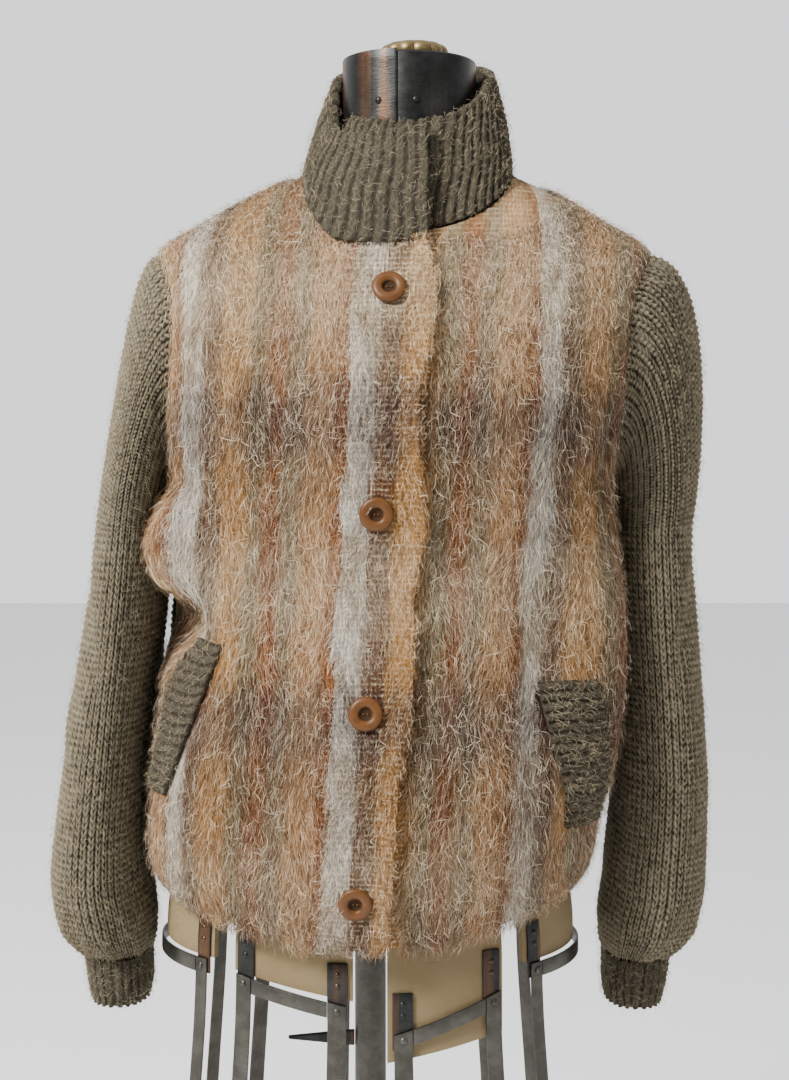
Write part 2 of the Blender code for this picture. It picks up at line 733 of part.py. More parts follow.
def button_profile():
    """Half the button's section: rim, dished well and flat back, from the axis out and round to the back."""
    rim = BUTTON_THICKNESS
    well = rim - BUTTON_WELL_DEPTH
    shoulder = (BUTTON_RADIUS + BUTTON_WELL_RADIUS) / 2
    return [
        (0.0, well),
        (BUTTON_WELL_RADIUS * 0.8, well),
        (BUTTON_WELL_RADIUS, rim * 0.85),
        (shoulder, rim),
        (BUTTON_RADIUS * 0.93, rim * 0.78),
        (BUTTON_RADIUS, rim * 0.42),
        (BUTTON_RADIUS * 0.90, 0.0),
        (0.0, 0.0),
    ]


def turned(name, profile, steps, finish, collection):
    """A solid turned about Z from a profile of (radius, height), top to bottom."""
    mesh = bpy.data.meshes.new(name)
    edges = [(i, i + 1) for i in range(len(profile) - 1)]
    mesh.from_pydata([(r, 0, z) for r, z in profile], edges, [])
    made = add_object(name, mesh, finish, collection)
    screw = made.modifiers.new("turned", "SCREW")
    screw.steps = steps
    screw.render_steps = steps
    screw.use_merge_vertices = True
    screw.merge_threshold = 0.00001
    screw.use_smooth_shade = True
    return made


def make_buttons(collection):
    step = 0.004
    for number, height in enumerate(BUTTON_HEIGHTS, 1):
        rows = []
        for h in (height - step, height, height + step):
            girths = BUTTON_FROM_CENTRE + np.array([-step, 0, step])
            rows.append(front_points("right", h, girths))
        grid = mirrored(np.array(rows))
        normal = Vector(normals_of(grid)[1, 1])
        button = turned(f"button_{number}", button_profile(), BUTTON_STEPS, "button", collection)
        button.rotation_mode = "QUATERNION"
        button.rotation_quaternion = normal.to_track_quat("Z", "Y")
        button.location = Vector(leaned(grid[1, 1])) + normal * BUTTON_CLEARANCE


def form_ring(table, height, columns):
    """A level elliptical ring of the dress form, from the centre front round by the wearer's left."""
    turn = np.arange(columns) * 2 * math.pi / columns
    return form_points(table, height, turn)


def form_points(table, height, turn):
    depth = np.where(np.cos(turn) > 0, table.at("front", height), table.at("back", height))
    x = table.at("half_width", height) * np.sin(turn)
    return np.stack([x, -depth * np.cos(turn), np.full(np.shape(turn), height)], axis=-1)


def make_bodice(collection):
    """The form's smooth body, from the hips to the neck, closed by flat ends."""
    shape = bmesh.new()
    rings = []
    for height in BODICE_HEIGHTS:
        points = leaned(form_ring(BODICE, height, BODICE_COLUMNS))
        rings.append([shape.verts.new(p) for p in points])
    for low, high in zip(rings, rings[1:]):
        edges = []
        for ring in (low, high):
            for a, b in zip(ring, ring[1:] + ring[:1]):
                edges.append(shape.edges.get((a, b)) or shape.edges.new((a, b)))
        bmesh.ops.bridge_loops(shape, edges=edges)
    shape.faces.new(rings[0])
    shape.faces.new(rings[-1])
    bmesh.ops.recalc_face_normals(shape, faces=shape.faces)
    mesh = bpy.data.meshes.new("form_bodice")
    shape.to_mesh(mesh)
    shape.free()
    add_object("form_bodice", mesh, "canvas", collection)


def make_neck(collection):
    """The metal band that caps the neck, and the knob on it."""
    foot = leaned(np.array([0.0, 0.0, NECK_BAND_BOTTOM]))
    radius = NECK_BAND_HALF_WIDTH
    band = [
        (0.0, NECK_BAND_HEIGHT),
        (radius * 0.965, NECK_BAND_HEIGHT),
        (radius, NECK_BAND_HEIGHT - 0.003),
        (radius, 0.0),
        (0.0, 0.0),
    ]
    neck = turned("form_neck_band", band, 40, "gunmetal", collection)
    neck.scale = (1, NECK_BAND_DEPTH_SHARE, 1)
    neck.location = Vector(foot)
    half = KNOB_THICKNESS / 2
    knob = [
        (0.0, KNOB_THICKNESS),
        (KNOB_RADIUS * 0.55, KNOB_THICKNESS * 0.97),
        (KNOB_RADIUS * 0.88, KNOB_THICKNESS * 0.82),
        (KNOB_RADIUS, half),
        (KNOB_RADIUS * 0.90, KNOB_THICKNESS * 0.14),
        (KNOB_RADIUS * 0.70, 0.0),
        (0.0, 0.0),
    ]
    top = turned("form_knob", knob, 24, "brass", collection)
    seat = NECK_BAND_BOTTOM + NECK_BAND_HEIGHT + SEAM_GAP
    top.location = Vector(leaned(np.array([0.0, 0.0, seat])))


def hip_grid(start, end, bottom, top, table, out, columns, rows):
    """Points over part of the hips, by turns from the centre front, moved out level."""
    turn = np.radians(np.linspace(start, end, columns))
    grid = np.array([form_points(table, h, turn) for h in np.linspace(bottom, top, rows)])
    return grid + normals_of(grid) * out


def make_hip_panels(collection):
    for panel in HIP_PANELS:
        row = dict(zip(HIP_PANEL_COLUMNS, panel))
        columns = 4 + round((row["end"] - row["start"]) / 11)
        bottom = np.linspace(row["bottom_start"], row["bottom_end"], columns)
        grid = hip_grid(row["start"], row["end"], bottom, HIP_PANEL_TOP, HIPS, 0.0, columns, 3)
        inner = grid - normals_of(grid) * HIP_SHELL
        loft_wall(f"form_hip_{row['name']}", grid, inner, "canvas", collection)


def make_cage(collection):
    """Under each hip panel, two hanging strips joined by straps, and the tabs that hold them to the panel."""
    for panel in HIP_PANELS:
        row = dict(zip(HIP_PANEL_COLUMNS, panel))
        make_cage_frame(row, collection)
        for end, turn_sign in (("start", 1), ("end", -1)):
            make_tab(row, end, turn_sign, collection)


def turn_width(width):
    """A width at the front of the hips as a turn, in degrees."""
    return math.degrees(width / HIPS.at("half_width", 0.7))


def make_tab(row, end, turn_sign, collection):
    inset = turn_width(0.004)
    first = row[end] + turn_sign * inset
    last = first + turn_sign * turn_width(TAB_WIDTH)
    low = row[f"strap_{end}"]
    start, stop = sorted((first, last))
    grid = hip_grid(start, stop, low, low + TAB_HEIGHT, HIPS, SEAM_GAP, 2, 2)
    outer = grid + normals_of(grid) * TAB_THICKNESS
    loft_wall(f"form_tab_{row['name']}_{end}", outer, grid, "gunmetal", collection)


def make_cage_frame(row, collection):
    """A ladder of two strips and two straps, lying on the tabs and flaring out as it goes down."""
    strip = turn_width(STRIP_WIDTH)
    inset = turn_width(0.005)
    start, end = row["start"] + inset, row["end"] - inset
    span = round((end - start) / 12) + 2
    across = [start, *np.linspace(start + strip, end - strip, span), end]
    top = np.interp(across, [start, end], [row["strap_start"], row["strap_end"]]) + STRAP_WIDTH
    foot = np.full(len(across), CAGE_BOTTOM)
    down = [foot, foot + STRAP_WIDTH, (foot + top) / 2, top - STRAP_WIDTH, top]
    turn = np.radians(across)
    lift = SEAM_GAP + TAB_THICKNESS + SEAM_GAP
    rows = []
    for height in down:
        flare = CAGE_FLARE * ease(top - height, 0.0, top - CAGE_BOTTOM)
        points = form_points(HIPS, np.maximum(height, HIPS.values[0, 0]), turn)
        points[:, 2] = height
        out = points * np.array([1, 1, 0])
        out /= np.linalg.norm(out, axis=1, keepdims=True)
        rows.append(points + out * (lift + flare)[:, None])
    grid = np.array(rows)
    outer = grid + normals_of(grid) * STRIP_THICKNESS
    keep = np.zeros((len(down) - 1, len(across) - 1), bool)
    keep[:, [0, -1]] = True
    keep[[0, -1], :] = True
    loft_wall(f"form_cage_{row['name']}", outer, grid, "steel", collection, keep=keep)


def make_stand(collection):
    base = [
        (0.0, BASE_HUB_HEIGHT),
        (BASE_HUB_RADIUS * 0.7, BASE_HUB_HEIGHT),
        (BASE_HUB_RADIUS, BASE_THICKNESS + 0.012),
        (BASE_RADIUS * 0.93, BASE_THICKNESS),
        (BASE_RADIUS, BASE_THICKNESS * 0.55),
        (BASE_RADIUS, 0.0),
        (0.0, 0.0),
    ]
    turned("form_base", base, 40, "iron", collection)
    root = -POLE_RADIUS - SEAM_GAP
    wide, narrow = LEVER_ROOT_WIDTH / 2, LEVER_TIP_WIDTH / 2
    low = [[-LEVER_REACH, 0, LEVER_HEIGHT - narrow], [root, 0, LEVER_HEIGHT - wide]]
    high = [[-LEVER_REACH, 0, LEVER_HEIGHT + narrow], [root, 0, LEVER_HEIGHT + wide]]
    lever = np.array([low, high])
    half = np.array([0, LEVER_THICKNESS / 2, 0])
    loft_wall("form_lever", lever - half, lever + half, "gunmetal", collection)
    length = BODICE_BOTTOM - BASE_HUB_HEIGHT - 2 * SEAM_GAP
    bpy.ops.mesh.primitive_cylinder_add(vertices=20, radius=POLE_RADIUS, depth=length)
    pole = bpy.context.object
    pole.name = "form_pole"
    pole.data.materials.append(finish_material("form_pole", "steel"))
    pole.location = (0, 0, BASE_HUB_HEIGHT + SEAM_GAP + length / 2)
    for owner in list(pole.users_collection):
        owner.objects.unlink(pole)
    collection.objects.link(pole)


def main():
    clear_scene()
    jacket = new_collection("wool_jacket")
    form = new_collection("dress_form")
    for side in ("right", "left"):
        make_front(side, jacket)
        make_sleeve(side, jacket)
        make_cuff(side, jacket)
        make_welt(side, jacket)
    make_back(jacket)
    make_collar(jacket)
    make_buttons(jacket)
    make_bodice(form)
    make_neck(form)
    make_hip_panels(form)
    make_cage(form)
    make_stand(form)


main()
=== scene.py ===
import math

import bmesh
import bpy
import numpy as np
from bpy.props import FloatProperty, FloatVectorProperty, IntProperty, PointerProperty
from mathutils import Matrix, Vector


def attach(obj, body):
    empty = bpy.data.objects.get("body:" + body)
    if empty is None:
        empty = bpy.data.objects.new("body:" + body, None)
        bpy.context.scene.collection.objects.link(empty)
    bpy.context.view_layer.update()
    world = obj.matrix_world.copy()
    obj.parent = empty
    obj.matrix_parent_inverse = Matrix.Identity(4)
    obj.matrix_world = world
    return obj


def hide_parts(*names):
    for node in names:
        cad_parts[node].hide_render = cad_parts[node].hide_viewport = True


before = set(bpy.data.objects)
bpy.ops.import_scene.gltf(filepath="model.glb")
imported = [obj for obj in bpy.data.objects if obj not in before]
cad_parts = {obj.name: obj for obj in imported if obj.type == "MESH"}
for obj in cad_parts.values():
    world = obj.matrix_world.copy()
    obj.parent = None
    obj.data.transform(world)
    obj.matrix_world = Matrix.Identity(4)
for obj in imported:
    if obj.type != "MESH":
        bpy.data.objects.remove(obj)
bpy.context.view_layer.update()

bl_info = {
    "name": "Wool jacket on a dress form",
    "version": (1, 0, 0),
    "blender": (4, 5, 0),
    "location": "View3D > Sidebar > Jacket",
    "description": "Brushed mohair and knitted jacket, with its buttons, dress form and stage",
    "category": "Object",
}

SIDES = ("right", "left")
MERGE_DISTANCE = 0.000002

# Cloth, in metres
CLOTH_WALL = 0.003
KNIT_WALL = 0.0035
SEAM_GAP = 0.0004
LAP_LIFT = 0.0060
HEM_HEIGHT = 0.718
UNDERARM_HEIGHT = 1.090
SHOULDER_HEIGHT = 1.284
NECK_PIT_HEIGHT = 1.297
FRONT_TOP_HEIGHT = 1.350
NECK_POINT_HEIGHT = 1.356
NECK_HALF_WIDTH = 0.088
HEM_SIDE_RISE = 0.034
HEM_RISE_REACH = 0.12
UNDERLAP_PAST_CENTRE = 0.026
LAP_EASE = 0.030
LAP_CURL = 0.006
LAP_CURL_REACH = 0.018
SHOULDER_SEAM_FORWARD = 0.020
LEAN = 0.055
LEAN_START_HEIGHT = 0.750
ARMHOLE_FRONT_REACH = 0.066
ARMHOLE_BACK_REACH = 0.060
ARMHOLE_MIDDLE = (SHOULDER_HEIGHT + UNDERARM_HEIGHT) / 2
ARMHOLE_HALF = (SHOULDER_HEIGHT - UNDERARM_HEIGHT) / 2
OUTLINE_STEPS = 241

# Nap of the fronts: the girths that it can grow on, and where it is thin, short or absent
NAP_GIRTHS = (-0.034, 0.296)
NAP_LEVELS = 160
NAP_UNDER_LAP = 0.051
NAP_WELT_GAP = 0.002
NAP_BUTTON_GAP = 0.001
NAP_OVER_BUTTON = 0.030
NAP_OVER_BUTTON_SHARE = 0.3
NAP_LONGEST = 1.12
PLACKET_THIN = (0.036, 0.052)
PLACKET_THIN_SHARE = 0.15
PLACKET_SHORT = (0.036, 0.056)
PLACKET_SHORT_SHARE = 0.5
YOKE_SHORT = (1.12, 1.27)
YOKE_SHORT_SHARE = 0.3

# Stitches, as wales across and courses along
KNIT_WALE = 0.0085
KNIT_COURSE = 0.0060
RIB_PITCH = 0.0096
# RIB_SHADE scales the knit's stitch colour on the ribbed pieces: painted shade on the collar, cuffs
# and welts, which also offsets their higher stitches
RIB_SHADE = 0.27
RIB_COURSE = 0.0050
STITCH_MIDDLE = 0.3
STITCH_UNEVEN = 0.10
STITCH_SWAY = 0.10
PLAIN_MARK = 0.35

# Loose fibres on each knitted piece, and the seeds of all that is drawn at random
FUZZ_FIBRES = {"back": 4500, "sleeve": 8500, "cuff": 900, "collar": 3800, "welt": 800}
FUZZ_SEEDS = {"back": 32, "sleeve": 43, "cuff": 53, "collar": 62, "welt": 73}
STITCH_SEEDS = {"back": 31, "sleeve": 41, "cuff": 51, "collar": 61, "welt": 71}
NAP_SEED = 11
CURL_SEED = 21

# Buttons
BUTTON_RADIUS = 0.0138
BUTTON_THICKNESS = 0.0056
BUTTON_WELL_RADIUS = 0.0052
BUTTON_WELL_DEPTH = 0.0034
BUTTON_CLEARANCE = 0.0008
BUTTON_FROM_CENTRE = 0.010
BUTTON_HEIGHTS = (1.248, 1.070, 0.912, 0.762)
BUTTON_SEAT_STEP = 0.004
BUTTON_HOLE_FROM_CENTRE = 0.0016

# Pocket welts
WELT_WIDTH = 0.047
WELT_RIBS = 15

# Collar
COLLAR_UNDER_END = math.radians(-58)
COLLAR_OVER_END = math.radians(371)
COLLAR_LAP_START = math.radians(318)
COLLAR_LAP_FULL = math.radians(342)
COLLAR_RIM_HALF_WIDTH = 0.069
COLLAR_RIM_FRONT = 0.071
COLLAR_RIM_BACK = 0.064
COLLAR_SEAT = 0.0012
COLLAR_WALL = 0.0056
COLLAR_SAG_TURN = math.radians(326)
COLLAR_SAG_REACH = math.radians(24)
COLLAR_SAG = 0.008
COLLAR_FLAP_DROP = 0.009
COLLAR_TUCK = 0.0075
COLLAR_CORNER_TURN = math.radians(311)
COLLAR_CORNER_REACH = math.radians(20)
COLLAR_CORNER = 0.008
COLLAR_SLANT = math.radians(17)
COLLAR_SLANT_START = (math.radians(-4), math.radians(26))
COLLAR_SLANT_END = (math.radians(50), math.radians(110))
COLLAR_TONGUE = (math.radians(12), math.radians(40))
COLLAR_TONGUE_SHARE = 0.5
COLLAR_TUCK_END = (math.radians(14), math.radians(48))
COLLAR_FLAP_START = (math.radians(304), math.radians(330))
COLLAR_FLAT_START = (math.radians(296), math.radians(322))
COLLAR_LAP_CLEARANCE = 0.0012
COLLAR_SWELL = 0.003
COLLAR_ROWS = 24
COLLAR_INNER_DROP = 0.002

# Dress form
NECK_BAND_HALF_WIDTH = 0.057
NECK_BAND_DEPTH_SHARE = 0.94
NECK_BAND_BOTTOM = 1.3888
NECK_BAND_HEIGHT = 0.0625
KNOB_RADIUS = 0.030
KNOB_THICKNESS = 0.015
KNOB_PETALS = 12
HIP_SHELL = 0.005
HIP_PANEL_TOP = 0.7997
BODICE_BOTTOM = 0.800
POLE_RADIUS = 0.014
BASE_RADIUS = 0.230
BASE_THICKNESS = 0.022
BASE_HUB_RADIUS = 0.045
BASE_HUB_HEIGHT = 0.060
STRIP_WIDTH = 0.015
STRIP_THICKNESS = 0.002
STRAP_WIDTH = 0.013
CAGE_BOTTOM = 0.430
CAGE_FLARE = 0.016
TAB_WIDTH = 0.017
TAB_HEIGHT = 0.048
TAB_THICKNESS = 0.002
RIVET_RADIUS = 0.0032
LEVER_HEIGHT = 0.590
LEVER_REACH = 0.074
LEVER_ROOT_WIDTH = 0.015
LEVER_TIP_WIDTH = 0.003
LEVER_THICKNESS = 0.004

# Camera and lamps, in metres, with the camera's sensor and lens in millimetres
CAMERA_PLACE = (0.0216, -1.40, 1.136)
CAMERA_TILT = math.radians(90 - 3.96)
CAMERA_SENSOR = 36
CAMERA_LENS = 53.03
KEY_PLACE = (-2.0, -1.9, 3.1)
KEY_SIZE = 0.8
FILL_PLACE = (1.9, -1.9, 1.6)
FILL_SIZE = 1.8
FILL_SHARE = 0.045
LAMP_TARGET = (0, 0, 1.0)
FLOOR_HALF = 9


def named(columns, rows):
    """The rows of a table, each value under its column's name."""
    return [dict(zip(columns, row)) for row in rows]


class Sections:
    """A table with one row for each section, read at any key by a smooth curve through its rows."""

    def __init__(self, columns, rows):
        self.columns = columns
        self.values = np.array(rows, float)

    def at(self, name, key):
        keys = self.values[:, 0]
        column = self.values[:, self.columns.index(name)]
        steps = np.diff(keys)
        secants = np.diff(column) / steps
        product = secants[:-1] * secants[1:]
        total = secants[:-1] + secants[1:]
        inner = np.where(product > 0, 2 * product / np.where(total == 0, 1, total), 0)
        slopes = np.concatenate([[secants[0]], inner, [secants[-1]]])
        key = np.clip(key, keys[0], keys[-1])
        i = np.clip(np.searchsorted(keys, key) - 1, 0, len(steps) - 1)
        t = (key - keys[i]) / steps[i]
        start = column[i] * (1 + 2 * t) * (1 - t) ** 2 + column[i + 1] * t**2 * (3 - 2 * t)
        return start + steps[i] * (slopes[i] * t * (1 - t) ** 2 - slopes[i + 1] * t**2 * (1 - t))

    def column(self, name):
        return self.values[:, self.columns.index(name)]


# Outside of the jacket's body: half its width, and how far it stands to the front and back
BODY = Sections(
    ("height", "half_width", "front", "back", "squareness"),
    [
        (0.718, 0.186, 0.142, 0.132, 2.2),
        (0.738, 0.191, 0.150, 0.136, 2.3),
        (0.780, 0.1945, 0.158, 0.140, 2.4),
        (0.860, 0.1930, 0.156, 0.139, 2.5),
        (0.940, 0.1880, 0.147, 0.132, 2.5),
        (1.020, 0.1860, 0.144, 0.126, 2.5),
        (1.090, 0.1900, 0.147, 0.124, 2.5),
        (1.150, 0.1985, 0.146, 0.122, 2.6),
        (1.210, 0.2050, 0.133, 0.116, 2.7),
        (1.260, 0.2100, 0.112, 0.104, 2.7),
        (1.284, 0.2110, 0.097, 0.096, 2.6),
        (1.310, 0.1740, 0.083, 0.089, 2.5),
        (1.335, 0.1310, 0.067, 0.081, 2.4),
        (1.356, 0.0880, 0.046, 0.073, 2.3),
    ],
)

# A hanging sleeve on the wearer's left: its inner and outer sides, and its front and back edges
SLEEVE = Sections(
    ("height", "inner", "outer", "front", "back"),
    [
        (0.672, 0.2000, 0.2590, 0.040, 0.044),
        (0.684, 0.1960, 0.2710, 0.055, 0.060),
        (0.704, 0.1955, 0.2820, 0.070, 0.075),
        (0.740, 0.2015, 0.2860, 0.078, 0.083),
        (0.800, 0.2050, 0.2830, 0.081, 0.086),
        (0.885, 0.2030, 0.2760, 0.083, 0.087),
        (0.985, 0.1970, 0.2670, 0.085, 0.088),
        (1.050, 0.1950, 0.2620, 0.086, 0.088),
    ],
)
SLEEVE_SQUARENESS = 2.3
CAP_REACH_TOP = 0.036
CAP_REACH_UNDERARM = 0.004
CAP_RISE_TOP = 0.130
CAP_RISE_UNDERARM = 0.015
CUFF_GATHERS = 8
CUFF_GATHER_DEPTH = 0.0035
CUFF_GATHER_TOP = 0.765

CUFF = Sections(
    ("height", "inner", "outer", "front", "back"),
    [
        (0.628, 0.2030, 0.2500, 0.033, 0.036),
        (0.645, 0.2000, 0.2540, 0.038, 0.041),
        (0.6716, 0.2005, 0.2575, 0.039, 0.043),
    ],
)
CUFF_RIBS = 24

SLEEVE_SIDES = {
    "right": {"set_back": 0.006, "fuller": -0.012, "spread": -0.002, "slimmer": 0.009, "drop": 0.0},
    "left": {"set_back": 0.034, "fuller": 0.012, "spread": 0.014, "slimmer": -0.006, "drop": 0.012},
}

LAP_EDGE = Sections(
    ("height", "past_centre"),
    [
        (0.712, 0.013),
        (0.753, 0.018),
        (0.863, 0.018),
        (0.909, 0.026),
        (1.002, 0.022),
        (1.057, 0.028),
        (1.097, 0.023),
        (1.160, 0.018),
        (1.216, 0.026),
        (1.248, 0.028),
        (1.298, 0.017),
    ],
)

COLLAR_RIM = Sections(
    ("turn", "height"),
    [
        (-60, 1.398),
        (-35, 1.391),
        (-8, 1.388),
        (15, 1.390),
        (45, 1.403),
        (90, 1.440),
        (135, 1.454),
        (180, 1.454),
        (225, 1.450),
        (262, 1.438),
        (286, 1.400),
        (300, 1.386),
        (316, 1.379),
        (340, 1.379),
        (375, 1.384),
    ],
)

WELTS = {
    "right": {"top": 0.962, "bottom": 0.832, "from_centre_top": 0.128, "from_centre_bottom": 0.172},
    "left": {"top": 0.932, "bottom": 0.806, "from_centre_top": 0.128, "from_centre_bottom": 0.160},
}

# Soft folds of the fronts, which stand out above 0 and sink in below it
FOLDS = named(
    ("side", "top", "bottom", "girth_top", "girth_bottom", "width", "depth"),
    [
        ("right", 1.086, 0.980, 0.212, 0.220, 0.036, 0.013),
        ("right", 1.015, 0.925, 0.190, 0.220, 0.040, -0.013),
        ("right", 1.120, 0.960, 0.150, 0.140, 0.034, -0.006),
        ("right", 0.900, 0.730, 0.120, 0.110, 0.036, 0.005),
        ("right", 1.092, 0.996, 0.198, 0.206, 0.034, 0.015),
        ("right", 1.004, 0.944, 0.222, 0.204, 0.048, -0.022),
        ("left", 1.090, 0.790, 0.205, 0.210, 0.044, 0.026),
        ("left", 1.060, 0.860, 0.120, 0.125, 0.034, -0.007),
        ("left", 0.900, 0.730, 0.080, 0.085, 0.034, 0.005),
        ("left", 0.840, 0.725, 0.175, 0.170, 0.034, -0.006),
    ],
)

# Soft creases of the knit, as troughs below 0 and ridges above. Across and up are shares of the
# piece from its first column and its hem, and the slant leans the crease from upright.
CREASES = named(
    ("piece", "across", "up", "long", "wide", "slant_degrees", "depth"),
    [
        ("sleeve_right", 0.72, 0.50, 0.060, 0.011, 58, -0.0050),
        ("sleeve_right", 0.66, 0.44, 0.048, 0.010, 66, 0.0036),
        ("sleeve_right", 0.60, 0.37, 0.052, 0.010, 52, -0.0042),
        ("sleeve_right", 0.40, 0.13, 0.070, 0.012, 12, -0.0034),
        ("sleeve_right", 0.80, 0.17, 0.060, 0.011, -10, -0.0040),
        ("sleeve_right", 0.15, 0.47, 0.075, 0.014, -40, -0.0044),
        ("sleeve_right", 0.10, 0.34, 0.050, 0.011, -55, 0.0030),
        ("sleeve_left", 0.22, 0.54, 0.064, 0.012, -56, -0.0050),
        ("sleeve_left", 0.28, 0.46, 0.046, 0.010, -64, 0.0038),
        ("sleeve_left", 0.34, 0.39, 0.056, 0.010, -50, -0.0044),
        ("sleeve_left", 0.56, 0.14, 0.066, 0.012, -14, -0.0036),
        ("sleeve_left", 0.18, 0.18, 0.058, 0.011, 8, -0.0038),
        ("sleeve_left", 0.84, 0.49, 0.070, 0.013, 42, -0.0042),
        ("back", 0.17, 0.42, 0.120, 0.018, 16, -0.0060),
        ("back", 0.30, 0.30, 0.100, 0.020, 6, 0.0045),
        ("back", 0.46, 0.24, 0.130, 0.022, -3, -0.0055),
        ("back", 0.63, 0.31, 0.090, 0.018, -9, 0.0042),
        ("back", 0.79, 0.40, 0.125, 0.019, -18, -0.0064),
        ("back", 0.36, 0.74, 0.080, 0.016, 62, -0.0032),
        ("back", 0.67, 0.76, 0.070, 0.015, -58, -0.0030),
    ],
)

BODICE = Sections(
    ("height", "half_width", "front", "back"),
    [
        (0.800, 0.163, 0.116, 0.114),
        (0.860, 0.148, 0.105, 0.106),
        (0.930, 0.132, 0.098, 0.096),
        (1.020, 0.145, 0.114, 0.104),
        (1.100, 0.162, 0.130, 0.111),
        (1.170, 0.177, 0.126, 0.110),
        (1.230, 0.188, 0.108, 0.102),
        (1.268, 0.188, 0.094, 0.090),
        (1.288, 0.177, 0.084, 0.084),
        (1.310, 0.1632, 0.074, 0.080),
        (1.335, 0.1192, 0.060, 0.073),
        (1.350, 0.0850, 0.055, 0.064),
        (1.362, 0.0660, 0.056, 0.058),
        (1.3885, 0.0605, 0.056, 0.056),
    ],
)

HIPS = Sections(
    ("height", "half_width", "front", "back"),
    [
        (0.600, 0.182, 0.124, 0.120),
        (0.700, 0.181, 0.124, 0.120),
        (0.7997, 0.164, 0.117, 0.115),
    ],
)
HIP_PANELS = named(
    ("name", "start", "end", "bottom_start", "bottom_end", "strap_start", "strap_end"),
    [
        ("front_left", 5.0, 38.0, 0.616, 0.634, 0.627, 0.657),
        ("side_left", 46.0, 134.0, 0.688, 0.688, 0.674, 0.674),
        ("back_left", 142.0, 175.0, 0.660, 0.660, 0.646, 0.646),
        ("back_right", 185.0, 218.0, 0.660, 0.660, 0.646, 0.646),
        ("side_right", 226.0, 314.0, 0.692, 0.692, 0.678, 0.678),
        ("front_right", 322.0, 356.0, 0.686, 0.668, 0.672, 0.652),
    ],
)

# One stitch of plain knit and one of rib. Across is the place in the wale, crest and gap are how
# far the yarn stands out on a stitch and between two, and shift moves it along the wale in courses.
STITCH_COLUMNS = ("across", "crest", "gap", "shift")
KNIT_STITCH = Sections(
    STITCH_COLUMNS,
    [
        (0.00, 0.00, 0.00, 0.40),
        (0.28, 1.00, 0.40, 0.05),
        (0.50, 0.50, 0.05, -0.45),
        (0.72, 1.00, 0.40, 0.05),
    ],
)
RIB_STITCH = Sections(
    STITCH_COLUMNS,
    [
        (0.00, 0.18, 0.14, 0.00),
        (0.16, 0.45, 0.30, 0.25),
        (0.32, 1.00, 0.65, 0.05),
        (0.50, 0.80, 0.45, -0.40),
        (0.68, 1.00, 0.65, 0.05),
        (0.84, 0.45, 0.30, 0.25),
    ],
)

# Stripes of the warp across one repeat, and bands of the weft up one repeat. A stripe's third value
# is how much of it lasts where the warp fades, or all of it. A band's is its strength.
WARP_REPEAT = 0.150
WARP_START = -0.037
WARP = [
    (0.00, "white", 0.25),
    (0.14, "mauve"),
    (0.27, "peach"),
    (0.46, "green"),
    (0.57, "rust"),
    (0.67, "grey"),
    (0.77, "pink"),
    (0.94, "rust"),
]
WEFT_REPEAT = 0.240
WEFT_START = 0.674
WEFT = [
    (0.00, "brown", 0.70),
    (0.10, "peach", 0.20),
    (0.26, "cream", 0.30),
    (0.56, "peach", 0.15),
    (0.69, "olive", 0.46),
    (0.86, "brown", 0.70),
]

# Looks of the plaid: how far the edges of stripes and bands stray, where it is pale or worn, and
# where painted shade darkens it towards the hem
STRIPE_WANDER = 0.014
STRIPE_STREAK = 0.016
STRIPE_SOFTNESS = 0.018
BAND_WANDER = 0.07
BAND_SOFTNESS = 0.045
FADED_SHARE = 0.14
YOKE_PALE = (1.15, 1.25)
YOKE_PALE_SHARE = 0.20
BLOTCH_SHARE = 0.75
# Painted shade towards the hem: none at the first height, full at the second, by this share
HEM_PAINTED_SHADE = (0.96, 0.73)
HEM_PAINTED_SHADE_SHARE = 0.6
WORN_AND_SHADE_TINT = (0.60, 0.53, 0.47)
PLAID_HUE = 0.494
PLAID_SATURATION = 1.09

# Weave under the nap: where its threads lie open, their pitches and the shade between them
PLACKET_EDGES = (-0.047, 0.034)
PLACKET_OPEN_SHARE = 0.6
YOKE_OPEN = (1.16, 1.28)
YOKE_OPEN_SHARE = 0.35
END_PITCH = 0.0032
PICK_PITCH = 0.0044
WEAVE_SHADE = (0.20, 0.15, 0.11)
NAP_SHADE = (0.27, 0.20, 0.15)
CANVAS_PITCH = 0.0013
CANVAS_STAIN_AND_SHADE = (0.70, 0.60, 0.46)


def tone(red, green, blue):
    """A colour from its usual screen values, 0 to 255, as linear light."""
    values = np.array([red, green, blue]) / 255
    linear = np.where(values <= 0.04045, values / 12.92, ((values + 0.055) / 1.055) ** 2.4)
    return tuple(float(v) for v in linear)


def colour(name, about, *screen):
    shade = tone(*screen)
    return FloatVectorProperty(
        name=name, description=about, subtype="COLOR", min=0, max=1, default=shade)


def length(name, about, default, high):
    return FloatProperty(
        name=name, description=about, default=default, min=0, max=high, unit="LENGTH")


def count(name, about, default, high):
    return IntProperty(name=name, description=about, default=default, min=100, max=high)


def strength(name, about, default, high):
    return FloatProperty(name=name, description=about, default=default, min=0, max=high)


class JacketCloth(bpy.types.PropertyGroup):
    """Sizes of the nap, the stitches and the loose fibres."""

    nap_length: length("Nap length", "Length of the longest combed fibres", 0.021, 0.06)
    nap_lift: length("Nap lift", "How far combed fibres stand off the weave", 0.0042, 0.02)
    nap_width: length("Nap width", "Width of a combed fibre", 0.00034, 0.003)
    nap_fibres: count("Nap fibres", "Combed fibres on each front", 74000, 99000)
    curls: count("Curled fibres", "Loose curled fibres on each front", 11500, 30000)
    curl_width: length("Curl width", "Width of a loose fibre", 0.00022, 0.002)
    stitch_relief: length("Stitch relief", "How far plain stitches stand out", 0.0029, 0.006)
    rib_relief: length("Rib relief", "How far ribs stand out", 0.0032, 0.006)
    fuzz_length: length("Fuzz length", "Length of the knit's loose fibres", 0.010, 0.03)
    fuzz_width: length("Fuzz width", "Width of the knit's loose fibres", 0.00018, 0.002)


